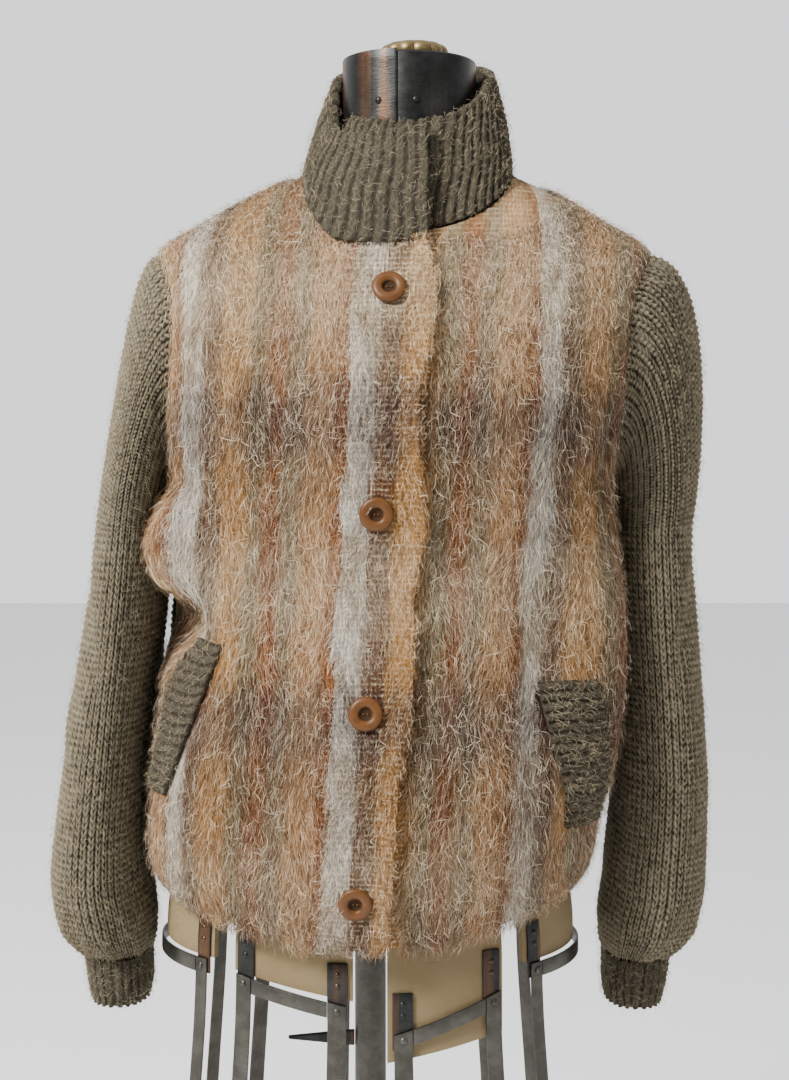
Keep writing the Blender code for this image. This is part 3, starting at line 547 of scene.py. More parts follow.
class JacketColours(bpy.types.PropertyGroup):
    """Colours of the yarns and buttons."""

    white: colour("White", "Pale stripe", 220, 223, 217)
    mauve: colour("Mauve", "Mauve stripe", 84, 60, 52)
    peach: colour("Peach", "Peach stripe", 178, 139, 86)
    green: colour("Green", "Grey-green stripe", 100, 92, 66)
    rust: colour("Rust", "Rust stripe", 124, 62, 8)
    grey: colour("Grey", "Grey stripe", 126, 115, 94)
    pink: colour("Pink", "Pinkish stripe", 190, 154, 112)
    brown: colour("Brown", "Dark band", 72, 44, 32)
    olive: colour("Olive", "Gold-green band", 120, 84, 30)
    cream: colour("Cream", "Pale band", 226, 207, 172)
    fibre: colour("Fibre", "Loose fibre ends", 250, 236, 206)
    wool_painted_shade: colour("Wool shade", "Knit between the stitches", 30, 26, 18)
    wool_light: colour("Wool", "Knit on the stitches", 160, 147, 120)
    wool_fuzz: colour("Wool fuzz", "Loose fibres of the knit", 146, 134, 108)
    button: colour("Button", "Buttons", 92, 56, 22)


class FormFinish(bpy.types.PropertyGroup):
    """Colours of the dress form."""

    canvas: colour("Canvas", "Cover of the body and hips", 132, 115, 83)
    gunmetal: colour("Gunmetal", "Neck band and tabs", 40, 40, 39)
    steel: colour("Steel", "Strips under the hips", 68, 66, 60)
    brass: colour("Brass", "Knob", 112, 94, 62)
    iron: colour("Iron", "Base", 40, 40, 41)


class StageSettings(bpy.types.PropertyGroup):
    """Floor and light."""

    floor: colour("Floor", "Floor", 250, 250, 249)
    sky: colour("Sky", "Soft light from all round", 238, 239, 241)
    front_strength: strength("Front light", "Soft light from the front", 0.22, 5)
    wall_strength: strength("Wall light", "Bright room behind", 1.65, 5)
    top_strength: strength("Top light", "Soft light from above", 1.6, 5)
    key_watts: strength("Key light", "Large light at the left, in watts", 300, 1000)


class Socket:
    """A shader socket that takes part in sums."""

    def __init__(self, finish, socket):
        self.finish = finish
        self.socket = socket

    def math(self, operation, first, second=0.0):
        return self.finish.node("ShaderNodeMath", {"operation": operation}, {0: first, 1: second})

    def __add__(self, other):
        return self.math("ADD", self, other)

    def __sub__(self, other):
        return self.math("SUBTRACT", self, other)

    def __rsub__(self, other):
        return self.math("SUBTRACT", other, self)

    def __mul__(self, other):
        return self.math("MULTIPLY", self, other)

    def __truediv__(self, other):
        return self.math("DIVIDE", self, other)

    def __pow__(self, other):
        return self.math("POWER", self, other)

    def fract(self):
        return self.math("FRACT", self)

    def sine(self):
        return self.math("SINE", self)

    def between(self, low, high):
        """0 at low, 1 at high, and held outside them."""
        limits = {"Value": self, "From Min": low, "From Max": high}
        return self.finish.node("ShaderNodeMapRange", {"clamp": True}, limits)

    def output(self, name):
        return Socket(self.finish, self.socket.node.outputs[name])


class Finish:
    """A material whose nodes are added one at a time."""

    def __init__(self, name):
        self.material = bpy.data.materials.new(name)
        self.material.use_nodes = True
        self.tree = self.material.node_tree
        self.shader = self.tree.nodes["Principled BSDF"]

    def put(self, socket, value):
        if isinstance(value, Socket):
            self.tree.links.new(value.socket, socket)
        elif hasattr(value, "__len__") and len(value) == 3 and socket.type == "RGBA":
            socket.default_value = (*value, 1)
        else:
            socket.default_value = value

    def node(self, kind, settings=(), sockets=(), out=0):
        made = self.tree.nodes.new(kind)
        for name, value in dict(settings).items():
            if name == "stops":
                self.set_stops(made.color_ramp, value)
            else:
                setattr(made, name, value)
        for name, value in dict(sockets).items():
            self.put(made.inputs[name], value)
        return Socket(self, made.outputs[out])

    def set_stops(self, ramp, stops):
        while len(ramp.elements) < len(stops):
            ramp.elements.new(1)
        for element, (place, shade) in zip(ramp.elements, stops):
            element.position = place
            element.color = shade

    def mix(self, share, first, second, blend="MIX"):
        settings = {"data_type": "RGBA", "blend_type": blend}
        return self.node("ShaderNodeMix", settings, {0: share, 6: first, 7: second}, out=2)

    def noise(self, vector, scale, detail=2.0, roughness=0.5):
        sockets = {"Vector": vector, "Scale": scale, "Detail": detail, "Roughness": roughness}
        return self.node("ShaderNodeTexNoise", {}, sockets)

    def stretched(self, vector, x, y, z):
        """The vector with its axes scaled."""
        settings = {"operation": "MULTIPLY"}
        return self.node("ShaderNodeVectorMath", settings, {0: vector, 1: (x, y, z)})

    def attribute(self, name, out="Fac"):
        return self.node("ShaderNodeAttribute", {"attribute_name": name}, out=out)

    def place(self):
        return self.node("ShaderNodeTexCoord", out="Object")

    def bump(self, height, distance, strength=1.0):
        sockets = {"Height": height, "Distance": distance, "Strength": strength}
        return self.node("ShaderNodeBump", {}, sockets)

    def surface(self, **sockets):
        for name, value in sockets.items():
            self.put(self.shader.inputs[name.replace("_", " ").title()], value)
        return self.material


def soft_cloth(finish, sheen, tint):
    """Sheen that is the same all over the cloth."""
    finish.shader.inputs["Sheen Weight"].default_value = sheen
    finish.shader.inputs["Sheen Roughness"].default_value = 0.45
    finish.shader.inputs["Sheen Tint"].default_value = (*tint, 1)
    finish.shader.inputs["Specular IOR Level"].default_value = 0.2


def soft_stops(rows, colours, soft):
    """Ramp stops for stripes with soft edges, one pair to a stripe."""
    stops = []
    for i, row in enumerate(rows):
        start = row[0]
        end = rows[i + 1][0] if i + 1 < len(rows) else 1.0
        shade = (*getattr(colours, row[1]), row[2] if len(row) > 2 else 1.0)
        edge = min(soft, (end - start) * 0.4)
        stops.append((start + edge * (i > 0), shade))
        stops.append((end - edge * (i + 1 < len(rows)), shade))
    return stops


def plaid(finish):
    """The fronts' stripes and bands at a place in the cut cloth, with wandering edges."""
    colours = bpy.context.scene.jacket_colours
    place = finish.attribute("cloth", "Vector")
    parts = finish.node("ShaderNodeSeparateXYZ", {}, {0: place})
    girth, height = parts.output("X"), parts.output("Y")
    wander = finish.noise(finish.stretched(place, 60, 9, 1), 1.0, 3.0) - 0.5
    streak = finish.noise(finish.stretched(place, 520, 16, 1), 1.0, 2.0) - 0.5
    strayed = girth + wander * STRIPE_WANDER + streak * STRIPE_STREAK
    warp = ((strayed - WARP_START) / WARP_REPEAT).fract()
    stops = soft_stops(WARP, colours, STRIPE_SOFTNESS)
    stripes = finish.node("ShaderNodeValToRGB", {"stops": stops}, {0: warp})
    rise = finish.noise(finish.stretched(place, 90, 14, 1), 1.0, 2.0) - 0.5
    weft = ((height + rise * BAND_WANDER - WEFT_START) / WEFT_REPEAT).fract()
    stops = soft_stops(WEFT, colours, BAND_SOFTNESS)
    bands = finish.node("ShaderNodeValToRGB", {"stops": stops}, {0: weft})
    mottle = finish.noise(finish.stretched(place, 240, 60, 1), 1.0, 3.0).between(0.3, 0.7)
    strength = bands.output("Alpha") * (mottle * 0.6 + 0.6)
    faded = finish.noise(finish.stretched(place, 22, 11, 1), 1.0, 2.0).between(0.40, 0.66)
    gone = finish.noise(finish.stretched(place, 26, 13, 1), 1.0, 3.0, 0.6).between(0.46, 0.62)
    lost = (1.0 - stripes.output("Alpha")) * gone + faded * FADED_SHARE
    softer = finish.mix(lost, stripes, colours.grey)
    crossed = finish.mix(strength, softer, bands)
    crossed = finish.mix(height.between(*YOKE_PALE) * YOKE_PALE_SHARE, crossed, colours.cream)
    blotch = finish.noise(finish.stretched(place, 70, 34, 1), 1.0, 3.0, 0.6).between(0.66, 0.34)
    # Darker in worn blotches at random, and under painted shade that deepens from the waist down to
    # the hem
    deeper = finish.mix(1.0, crossed, WORN_AND_SHADE_TINT, "MULTIPLY")
    wear = blotch * BLOTCH_SHARE + height.between(*HEM_PAINTED_SHADE) * HEM_PAINTED_SHADE_SHARE
    worn = finish.mix(wear.between(0.0, 1.0), crossed, deeper)
    sockets = {"Hue": PLAID_HUE, "Saturation": PLAID_SATURATION, "Color": worn}
    return place, finish.node("ShaderNodeHueSaturation", {}, sockets)


def mohair_ground():
    """The weave under the nap: streaked like fibres, with open threads on the placket and yoke."""
    finish = Finish("mohair_weave")
    colours = bpy.context.scene.jacket_colours
    place, shade = plaid(finish)
    parts = finish.node("ShaderNodeSeparateXYZ", {}, {0: place})
    girth, height = parts.output("X"), parts.output("Y")
    start, end = PLACKET_EDGES
    placket = (girth - start).between(0.0, 0.010) * (end - girth).between(0.0, 0.008)
    open_weave = placket * PLACKET_OPEN_SHARE + height.between(*YOKE_OPEN) * YOKE_OPEN_SHARE
    bent = finish.noise(finish.stretched(place, 40, 40, 1), 1.0, 2.0) * 0.02
    bent_place = finish.node("ShaderNodeCombineXYZ", {}, {0: girth + bent, 1: height, 2: 0.0})
    streak = finish.noise(finish.stretched(bent_place, 1300, 55, 1), 1.0, 3.0, 0.65)
    ends = (girth * (2 * math.pi / END_PITCH)).sine() * 0.5 + 0.5
    strayed = finish.noise(place, 170, 3.0) * 9.0
    picks = (height * (2 * math.pi / PICK_PITCH) + strayed).sine() * 0.5 + 0.5
    patch = finish.noise(finish.stretched(place, 260, 150, 1), 1.0, 3.0).between(0.42, 0.62)
    pale = (picks**3.0) * patch * (1.0 - ends * 0.6) * open_weave
    deep = finish.mix(1.0, shade, WEAVE_SHADE, "MULTIPLY")
    brushed_gaps = (1.0 - streak.between(0.36, 0.60)) * (1.0 - open_weave * 0.6)
    gaps = brushed_gaps + (1.0 - ends * picks) * open_weave * 0.5
    woven = finish.mix(gaps.between(0.0, 1.0) * 0.8, shade, deep)
    woven = finish.mix(pale, woven, colours.cream)
    soft_cloth(finish, 0.06, colours.cream)
    relief = finish.bump(streak * 0.8 + (ends * 0.4 + picks * 0.6) * open_weave, 0.0014)
    return finish.surface(base_color=woven, roughness=0.95, normal=relief)


def mohair_nap(name, paler):
    """Brushed fibres, each the colour of the cloth at its root; their paleness is partly painted
    highlight.
    """
    finish = Finish(name)
    colours = bpy.context.scene.jacket_colours
    shade = plaid(finish)[1]
    tint = finish.attribute("tint")
    along = finish.attribute("along")
    # Paler at random, a little towards the tips, and more on the loose curls: partly the fibres'
    # own pale colour, partly painted highlight where they catch the light
    paleness = (tint.between(0.70, 1.0) * 0.40 + along * 0.10) * paler
    light = finish.mix(paleness, shade, colours.fibre)
    dark = finish.mix(1.0, light, NAP_SHADE, "MULTIPLY")
    worn = finish.mix(tint.between(0.62, 0.10) * 0.9, light, dark)
    soft_cloth(finish, 0.08, colours.cream)
    return finish.surface(base_color=worn, roughness=0.62)


def wool_knit(name, light):
    """Taupe yarn with painted shade between the stitches, where they sink, and flecked along the
    strands.
    """
    finish = Finish(name)
    colours = bpy.context.scene.jacket_colours
    raised = finish.attribute("raised")
    place = finish.place()
    fibre = finish.noise(finish.stretched(place, 1100, 1100, 480), 1.0, 3.0, 0.7)
    heather = finish.noise(place, 110.0, 3.0, 0.6)
    # The yarn turns towards the dark colour where the stitches sink: painted shade between the
    # stitches
    share = (raised * 0.85 + fibre * 0.85 + heather * 0.45 - 0.70).between(0.0, 1.0)
    shade = finish.mix(share, colours.wool_painted_shade, tuple(light * c for c in colours.wool_light))
    soft_cloth(finish, 0.15, colours.wool_fuzz)
    relief = finish.bump(fibre, 0.0013)
    return finish.surface(base_color=shade, roughness=0.92, normal=relief)


def wool_fuzz():
    """Loose fibres of the knit, some paler than others."""
    finish = Finish("wool_fuzz")
    colours = bpy.context.scene.jacket_colours
    tint = finish.attribute("tint")
    shade = finish.mix(tint, colours.wool_light, colours.wool_fuzz)
    soft_cloth(finish, 0.3, colours.wool_fuzz)
    return finish.surface(base_color=shade, roughness=0.75)


def ease(value, low, high):
    """0 below low, 1 above high, and a smooth rise between."""
    t = np.clip((value - low) / (high - low), 0, 1)
    return t * t * (3 - 2 * t)


def leaned(points):
    """The points with the form's sideways lean."""
    moved = np.array(points, float)
    moved[..., 0] += LEAN * np.maximum(moved[..., 2] - LEAN_START_HEIGHT, 0)
    return moved


def mirrored(grid):
    """A grid of points from the wearer's left, turned over to the right, its columns reversed."""
    return grid[:, ::-1] * np.array([-1, 1, 1])


def unit(vectors):
    """The vectors at a length of 1."""
    return vectors / np.maximum(np.linalg.norm(vectors, axis=-1, keepdims=True), 1e-12)


def normals_of(grid, wraps=False):
    """Outward normals of a grid whose columns run to the wearer's left in front and rows up."""
    if wraps:
        across = np.roll(grid, -1, 1) - np.roll(grid, 1, 1)
    else:
        across = np.gradient(grid, axis=1)
    along = np.gradient(grid, axis=0)
    return unit(np.cross(across, along))


class Cloth:
    """A smooth skin as rows and columns of points, with normals and places in the cut cloth."""

    def __init__(self, points, places=None, wraps=False):
        self.points = points
        self.places = np.zeros_like(points) if places is None else places
        self.wraps = wraps
        self.normals = normals_of(points, wraps)

    def read(self, rows, columns):
        """Points, normals and places at fractional rows and columns, run on past the ends."""
        high, wide = self.points.shape[:2]
        row = np.clip(np.floor(rows).astype(int), 0, high - 2)
        if self.wraps:
            column = np.floor(columns).astype(int)
            up, across = rows - row, columns - column
            first, second = column % wide, (column + 1) % wide
        else:
            column = np.clip(np.floor(columns).astype(int), 0, wide - 2)
            up, across = rows - row, columns - column
            first, second = column, column + 1
        up, across = up[..., None], across[..., None]
        found = []
        for grid in (self.points, self.normals, self.places):
            low = grid[row, first] * (1 - across) + grid[row, second] * across
            high_side = grid[row + 1, first] * (1 - across) + grid[row + 1, second] * across
            found.append(low * (1 - up) + high_side * up)
        return found[0], unit(found[1]), found[2]

    def run(self, column):
        """How far each row is along one column from the first row."""
        steps = np.linalg.norm(np.diff(self.points[:, column], axis=0), axis=-1)
        return np.concatenate([[0], np.cumsum(steps)])

    def even(self, rows, column):
        """The same skin with this many rows, as far apart as each other along one column."""
        run = self.run(column)
        at = np.interp(np.linspace(0, run[-1], rows), run, np.arange(len(run)))
        columns = np.arange(self.points.shape[1])
        points, _, places = self.read(*np.meshgrid(at, columns, indexing="ij"))
        return Cloth(points, places, self.wraps)

    def steps(self):
        """Size of the cells across and along, in metres."""
        if self.wraps:
            across = np.linalg.norm(np.roll(self.points, -1, 1) - self.points, axis=-1)[:-1]
        else:
            across = np.linalg.norm(np.diff(self.points, axis=1), axis=-1)[:-1]
        along = np.linalg.norm(np.diff(self.points, axis=0), axis=-1)
        return across, along if self.wraps else along[:, :-1]

    def span(self):
        """Mean girth and length of the skin."""
        across, along = self.steps()
        return across.sum(axis=1).mean(), along.sum(axis=0).mean()

    def moved(self, out):
        """The points moved out along the normals, the first column again at the end of a wrap."""
        points = self.points + self.normals * out
        return closed(points) if self.wraps else points


def closed(grid):
    """The grid with its first column again at the end."""
    return np.concatenate([grid, grid[:, :1]], axis=1)


def section_outline(height):
    """Girth from the centre front, x, y and outward direction along half a section, to the back."""
    turn = np.linspace(0, math.pi, OUTLINE_STEPS)
    power = 2 / BODY.at("squareness", height)
    depth = np.where(turn < math.pi / 2, BODY.at("front", height), BODY.at("back", height))
    x = BODY.at("half_width", height) * np.sin(turn) ** power
    y = -depth * np.sign(np.cos(turn)) * np.abs(np.cos(turn)) ** power
    girth = np.concatenate([[0], np.cumsum(np.hypot(np.diff(x), np.diff(y)))])
    out_x, out_y = np.gradient(y), -np.gradient(x)
    size = np.hypot(out_x, out_y)
    return girth, x, y, out_x / size, out_y / size


def side_girth(height):
    """Girth from the centre front to the side."""
    return section_outline(height)[0][OUTLINE_STEPS // 2]


def girth_at(height, from_centre):
    """Girth in front where the body is this far from its middle plane."""
    girth, x = section_outline(height)[:2]
    half = OUTLINE_STEPS // 2 + 1
    return float(np.interp(from_centre, x[:half], girth[:half]))


def seam_girth(height):
    """Girth of the line that is the side seam, the middle of the armhole and the shoulder seam."""
    rise = ease(height, UNDERARM_HEIGHT, SHOULDER_HEIGHT)
    fall = np.clip((NECK_POINT_HEIGHT - height) / (NECK_POINT_HEIGHT - SHOULDER_HEIGHT), 0, 1)
    return side_girth(height) - SHOULDER_SEAM_FORWARD * rise * fall


def fold_depth(side, girth, height):
    """How far the front's soft folds stand out or sink in."""
    depth = np.zeros_like(girth)
    for fold in FOLDS:
        if fold["side"] != side:
            continue
        down = (fold["top"] - height) / (fold["top"] - fold["bottom"])
        middle = fold["girth_top"] + (fold["girth_bottom"] - fold["girth_top"]) * down
        swell = math.sin(math.pi * down) if 0 < down < 1 else 0.0
        depth += fold["depth"] * swell * np.exp(-(((girth - middle) / fold["width"]) ** 2))
    return depth


def hem_rise(girth, height):
    """The hem rides up towards the sides."""
    reach = np.clip(1 - (height - HEM_HEIGHT) / HEM_RISE_REACH, 0, 1)
    side = side_girth(height)
    return HEM_SIDE_RISE * reach**2 * np.sin(np.clip(girth / side, 0, 2) * math.pi / 2) ** 2


def body_row(height, girths, side=None, lift=0.0):
    """Points of the body on the wearer's left at this height, past centre for girths below 0."""
    girths = np.asarray(girths, float)
    girth, x, y, out_x, out_y = section_outline(height)
    sign = np.sign(girths)
    at = np.abs(girths)
    over = at - girth[-1]
    at = np.where(over > 0, girth[-1] - over, at)
    sign = np.where(over > 0, -sign, sign)
    out = lift + (fold_depth(side, girths, height) if side else 0)
    px = sign * (np.interp(at, girth, x) + np.interp(at, girth, out_x) * out)
    py = np.interp(at, girth, y) + np.interp(at, girth, out_y) * out
    return np.stack([px, py, height + hem_rise(at, height)], axis=-1)


def armhole_reach(height, reach):
    """Half the armhole's width at this height, an ellipse from the underarm to the shoulder."""
    return reach * math.sqrt(max(0.0, 1 - ((height - ARMHOLE_MIDDLE) / ARMHOLE_HALF) ** 2))


def armhole_heights(count):
    """Heights of the armhole's points, from the underarm to the shoulder."""
    return ARMHOLE_MIDDLE + ARMHOLE_HALF * np.cos(np.linspace(math.pi, 0, count))


def panel_heights(top):
    """Heights of a body panel's rows, from the hem to its top."""
    skirt = np.arange(HEM_HEIGHT, UNDERARM_HEIGHT - 0.002, 0.004)
    yoke = np.linspace(SHOULDER_HEIGHT, top, 20)[1:]
    return np.concatenate([skirt, armhole_heights(61), yoke])


def neckline_girth(height):
    """Girth at which the neckline crosses this height in front."""
    up = (height - NECK_PIT_HEIGHT) / (NECK_POINT_HEIGHT - NECK_PIT_HEIGHT)
    turn = math.acos(np.clip(1 - up, -1, 1))
    return girth_at(height, NECK_HALF_WIDTH * math.sin(turn))


def front_lift(side, height, girths):
    """The right front is raised where it laps over the left, and its edge curls out a bit more."""
    past = girths + LAP_EDGE.at("past_centre", height)
    curl = LAP_CURL * (1 - ease(past, 0.0, LAP_CURL_REACH))
    return (LAP_LIFT * (1 - ease(girths, LAP_EASE, 2 * LAP_EASE)) + curl) * (side == "right")


def front_row(side, height, girths):
    """Points of a front at this height, as if it were on the wearer's left."""
    return body_row(height, girths, side, front_lift(side, height, girths))


def front_edges(side, height):
    """Girths of a front's centre edge and its seam at this height."""
    start = -LAP_EDGE.at("past_centre", height) if side == "right" else -UNDERLAP_PAST_CENTRE
    if height > NECK_PIT_HEIGHT:
        start = max(start, neckline_girth(height) + SEAM_GAP)
    return start, seam_girth(height) - SEAM_GAP - armhole_reach(height, ARMHOLE_FRONT_REACH)


def own_side(side, girth):
    """A girth towards the wearer's left as one towards the front's own side, or the other way."""
    return -girth if side == "right" else girth


def front_skin(side, lines):
    """A front's skin through lines of girths, each at its height."""
    points = []
    places = []
    for height, girths in lines:
        points.append(front_row(side, height, girths))
        level = np.full(len(girths), height)
        places.append(np.stack([own_side(side, girths), level, np.zeros(len(girths))], axis=-1))
    points, places = np.array(points), np.array(places)
    if side == "right":
        points, places = mirrored(points), places[:, ::-1]
    return Cloth(leaned(points), places)


def front_cloth(side, columns=77, rows=136):
    """The front as it is cut, from its centre edge to its seam."""
    heights = panel_heights(FRONT_TOP_HEIGHT)
    lines = [(height, np.linspace(*front_edges(side, height), columns)) for height in heights]
    return front_skin(side, lines).even(rows, columns // 2)


def front_field(side, columns=84, rows=170):
    """The front's skin with its columns at fixed girths, so that its nap falls straight."""
    girths = np.linspace(*NAP_GIRTHS, columns)
    heights = np.linspace(HEM_HEIGHT, FRONT_TOP_HEIGHT, rows)
    return front_skin(side, [(height, girths) for height in heights])


def back_cloth(columns=101, rows=150):
    """The back, whose middle columns run straight up while the outer ones round the armholes."""
    points = []
    away = np.linspace(-1, 1, columns)
    for height in panel_heights(NECK_POINT_HEIGHT):
        half = section_outline(height)[0][-1]
        whole = half - seam_girth(height) - SEAM_GAP
        drawn = armhole_reach(height, ARMHOLE_BACK_REACH)
        points.append(body_row(height, half + whole * away - drawn * away * np.abs(away)))
    return Cloth(leaned(np.array(points))).even(rows, columns // 2)


def sleeve_ring(table, height, side, columns):
    """One level ring of a hanging tube, from its outer side round by the front."""
    facts = SLEEVE_SIDES[side]
    low, high = CUFF.values[0, 0], SLEEVE.values[-1, 0]
    down = (high - height) / (high - low)
    swing = facts["spread"] * min(1.0, 2 * down)
    inner = table.at("inner", height) + swing
    outer = table.at("outer", height) + swing - facts["slimmer"] * (1 - down)
    turn = np.arange(columns) * 2 * math.pi / columns
    power = 2 / SLEEVE_SQUARENESS
    across = np.sign(np.cos(turn)) * np.abs(np.cos(turn)) ** power
    ahead = np.sign(np.sin(turn)) * np.abs(np.sin(turn)) ** power
    depth = np.where(ahead > 0, table.at("front", height), table.at("back", height))
    x = (outer + inner) / 2 + (outer - inner) / 2 * across
    y = facts["set_back"] - depth * ahead
    return np.stack([x, y, np.full(columns, height - facts["drop"] * down)], axis=-1)


def armhole_ring(columns):
    """Where the sleeve is sewn in, from the shoulder round by the front, past the seam's gap."""
    front = []
    back = []
    for height in armhole_heights(columns // 2 + 1)[::-1]:
        seam = seam_girth(height)
        front.append(body_row(height, [seam - armhole_reach(height, ARMHOLE_FRONT_REACH)])[0])
        back.append(body_row(height, [seam + armhole_reach(height, ARMHOLE_BACK_REACH)])[0])
    return np.array(front + back[-2:0:-1]) + np.array([SEAM_GAP, 0, 0])


def cap_rings(side, columns, count):
    """Rings of the sleeve's head, which leave the armhole outwards and turn down to hang."""
    facts = SLEEVE_SIDES[side]
    turn = np.arange(columns) * 2 * math.pi / columns
    upper = ((1 + np.cos(turn)) / 2)[:, None]
    reach = CAP_REACH_UNDERARM + (CAP_REACH_TOP + facts["fuller"] - CAP_REACH_UNDERARM) * upper
    rise = CAP_RISE_UNDERARM + (CAP_RISE_TOP - CAP_RISE_UNDERARM) * upper
    start = armhole_ring(columns)
    end = sleeve_ring(SLEEVE, SLEEVE.values[-1, 0], side, columns)
    out = start + reach * np.array([1, 0, 0])
    above = end + rise * np.array([0, 0, 1]) + facts["fuller"] * upper**2 * np.array([1, 0, 0])
    rings = []
    for t in np.linspace(0, 1, count):
        weights = ((1 - t) ** 3, 3 * t * (1 - t) ** 2, 3 * t**2 * (1 - t), t**3)
        rings.append(sum(w * p for w, p in zip(weights, (start, out, above, end))))
    return rings


def gathered(ring, height):
    """A sleeve ring drawn into soft gathers as it nears the cuff."""
    turn = np.arange(len(ring)) * 2 * math.pi / len(ring)
    drawn = ease(-height, -CUFF_GATHER_TOP, -SLEEVE.values[1, 0])
    wave = CUFF_GATHER_DEPTH * drawn * (np.cos(CUFF_GATHERS * turn) - 1) / 2
    return ring + unit(ring - ring.mean(axis=0)) * wave[:, None]


def tube(rings, side):
    """A sleeve's or cuff's skin through its rings, from the lowest up."""
    grid = np.array(rings)[:, ::-1]
    if side == "right":
        grid = mirrored(grid)
    return Cloth(leaned(grid), wraps=True)


def sleeve_cloth(side, columns=96, rows=150):
    """A sleeve from its cuff to its armhole, with courses as even as they are on its outer side."""
    rings = cap_rings(side, columns, 40)
    for height in np.linspace(SLEEVE.values[-1, 0], SLEEVE.values[0, 0], 96)[1:]:
        rings.append(gathered(sleeve_ring(SLEEVE, height, side, columns), height))
    return tube(rings[::-1], side).even(rows, -1)


def cuff_cloth(side, columns=96, rows=14):
    """A cuff from its mouth to the sleeve."""
    heights = np.linspace(CUFF.values[0, 0], CUFF.values[-1, 0], rows)
    return tube([sleeve_ring(CUFF, height, side, columns) for height in heights], side)


def neck_point(turn):
    """A point of the neckline, by its turn from the centre front towards the wearer's left."""
    turn = (turn + math.pi) % (2 * math.pi) - math.pi
    if abs(turn) < math.pi / 2:
        height = NECK_PIT_HEIGHT + (NECK_POINT_HEIGHT - NECK_PIT_HEIGHT) * (1 - math.cos(turn))
        x = NECK_HALF_WIDTH * math.sin(abs(turn))
        xs, ys = section_outline(height)[1:3]
        half = OUTLINE_STEPS // 2 + 1
        return np.array([math.copysign(x, turn), np.interp(x, xs[:half], ys[:half]), height])
    x = NECK_HALF_WIDTH * math.sin(turn)
    y = -BODY.at("back", NECK_POINT_HEIGHT) * math.cos(turn)
    return np.array([x, y, NECK_POINT_HEIGHT])


def rim_point(turn):
    """A point of the collar's upper edge, which stands higher at the back."""
    ahead = math.cos(turn)
    depth = COLLAR_RIM_FRONT if ahead > 0 else COLLAR_RIM_BACK
    height = COLLAR_RIM.at("height", math.degrees(turn))
    return np.array([COLLAR_RIM_HALF_WIDTH * math.sin(turn), -depth * ahead, height])


def collar_turns(columns):
    """Turns from the centre front to the wearer's left, from the collar's under end to its lap."""
    return np.linspace(COLLAR_UNDER_END, COLLAR_OVER_END, columns)


def collar_cloth(columns=260, rows=COLLAR_ROWS, roll_rows=8):
    """The outside of the collar from its seat to its rim and over that, one end tucked under."""
    turns = collar_turns(columns)
    out = np.stack([np.sin(turns), -np.cos(turns), np.zeros(columns)], axis=-1)
    base = np.array([neck_point(turn) for turn in turns]) + np.array([0, 0, COLLAR_SEAT])
    slant = COLLAR_SLANT * ease(turns, *COLLAR_SLANT_START)
    slant = slant * (1 - ease(turns, *COLLAR_SLANT_END))
    rim = np.array([rim_point(turn) for turn in turns + slant])
    tongue = COLLAR_TONGUE_SHARE * ease(-turns, *COLLAR_TONGUE)
    base = base + (rim - base) * tongue[:, None]
    lap = (LAP_LIFT + COLLAR_LAP_CLEARANCE) * ease(turns, COLLAR_LAP_START, COLLAR_LAP_FULL)
    tuck = COLLAR_TUCK * (1 - ease(turns, *COLLAR_TUCK_END))
    corner = COLLAR_CORNER * np.exp(-(((turns - COLLAR_CORNER_TURN) / COLLAR_CORNER_REACH) ** 2))
    drop = COLLAR_SAG * np.exp(-(((turns - COLLAR_SAG_TURN) / COLLAR_SAG_REACH) ** 2))
    drop = drop + COLLAR_FLAP_DROP * ease(turns, *COLLAR_FLAP_START)
    points = []
    for up in np.linspace(0, 1, rows):
        swell = COLLAR_SWELL * math.sin(math.pi * up)
        low = (1 - up) ** 2
        level = lap + corner + swell - tuck * (0.4 + 0.6 * up) + 0.75 * drop * low
        row = base + (rim - base) * up + out * level[:, None]
        row[:, 2] -= drop * low
        points.append(row)
    top = points[-1]
    radius = COLLAR_WALL / 2
    for turn in np.linspace(0, math.pi, roll_rows + 1)[1:]:
        rise = np.array([0, 0, radius * math.sin(turn)])
        points.append(top + out * (radius * (math.cos(turn) - 1)) + rise)
    return Cloth(leaned(np.array(points)))


def welt_start(welt, height, down):
    """Girth of a welt's inner edge at this height, this share of the way down it."""
    slant = welt["from_centre_bottom"] - welt["from_centre_top"]
    return girth_at(height, welt["from_centre_top"] + slant * down)


def welt_cloth(side, columns=40, rows=16):
    """The outside of the band over the pocket mouth, its columns up the pocket, its rows across."""
    welt = WELTS[side]
    lines = []
    for down in np.linspace(1, 0, columns):
        height = welt["top"] + (welt["bottom"] - welt["top"]) * down
        start = welt_start(welt, height, down)
        lines.append(body_row(height, np.linspace(start, start + WELT_WIDTH, rows), side))
    grid = np.array(lines)
    if side == "right":
        grid = mirrored(grid)
    skin = Cloth(leaned(np.transpose(grid[:, ::-1], (1, 0, 2))))
    return Cloth(skin.points + skin.normals * (2 * SEAM_GAP + KNIT_WALL))


def creased(cloth, piece):
    """The cloth with its own creases from the table."""
    high, wide = cloth.points.shape[:2]
    girth, run = cloth.span()
    across = np.arange(wide) / (wide if cloth.wraps else wide - 1)
    up = np.arange(high) / (high - 1)
    depth = np.zeros((high, wide))
    for crease in CREASES:
        if crease["piece"] != piece:
            continue
        side = across - crease["across"]
        if cloth.wraps:
            side = (side + 0.5) % 1.0 - 0.5
        right, above = side[None, :] * girth, (up[:, None] - crease["up"]) * run
        slant = math.radians(crease["slant_degrees"])
        along = above * math.cos(slant) + right * math.sin(slant)
        beside = right * math.cos(slant) - above * math.sin(slant)
        fade = np.exp(-((along / crease["long"]) ** 2) - (beside / crease["wide"]) ** 2)
        depth += crease["depth"] * fade
    return Cloth(cloth.points + cloth.normals * depth[..., None], cloth.places, cloth.wraps)


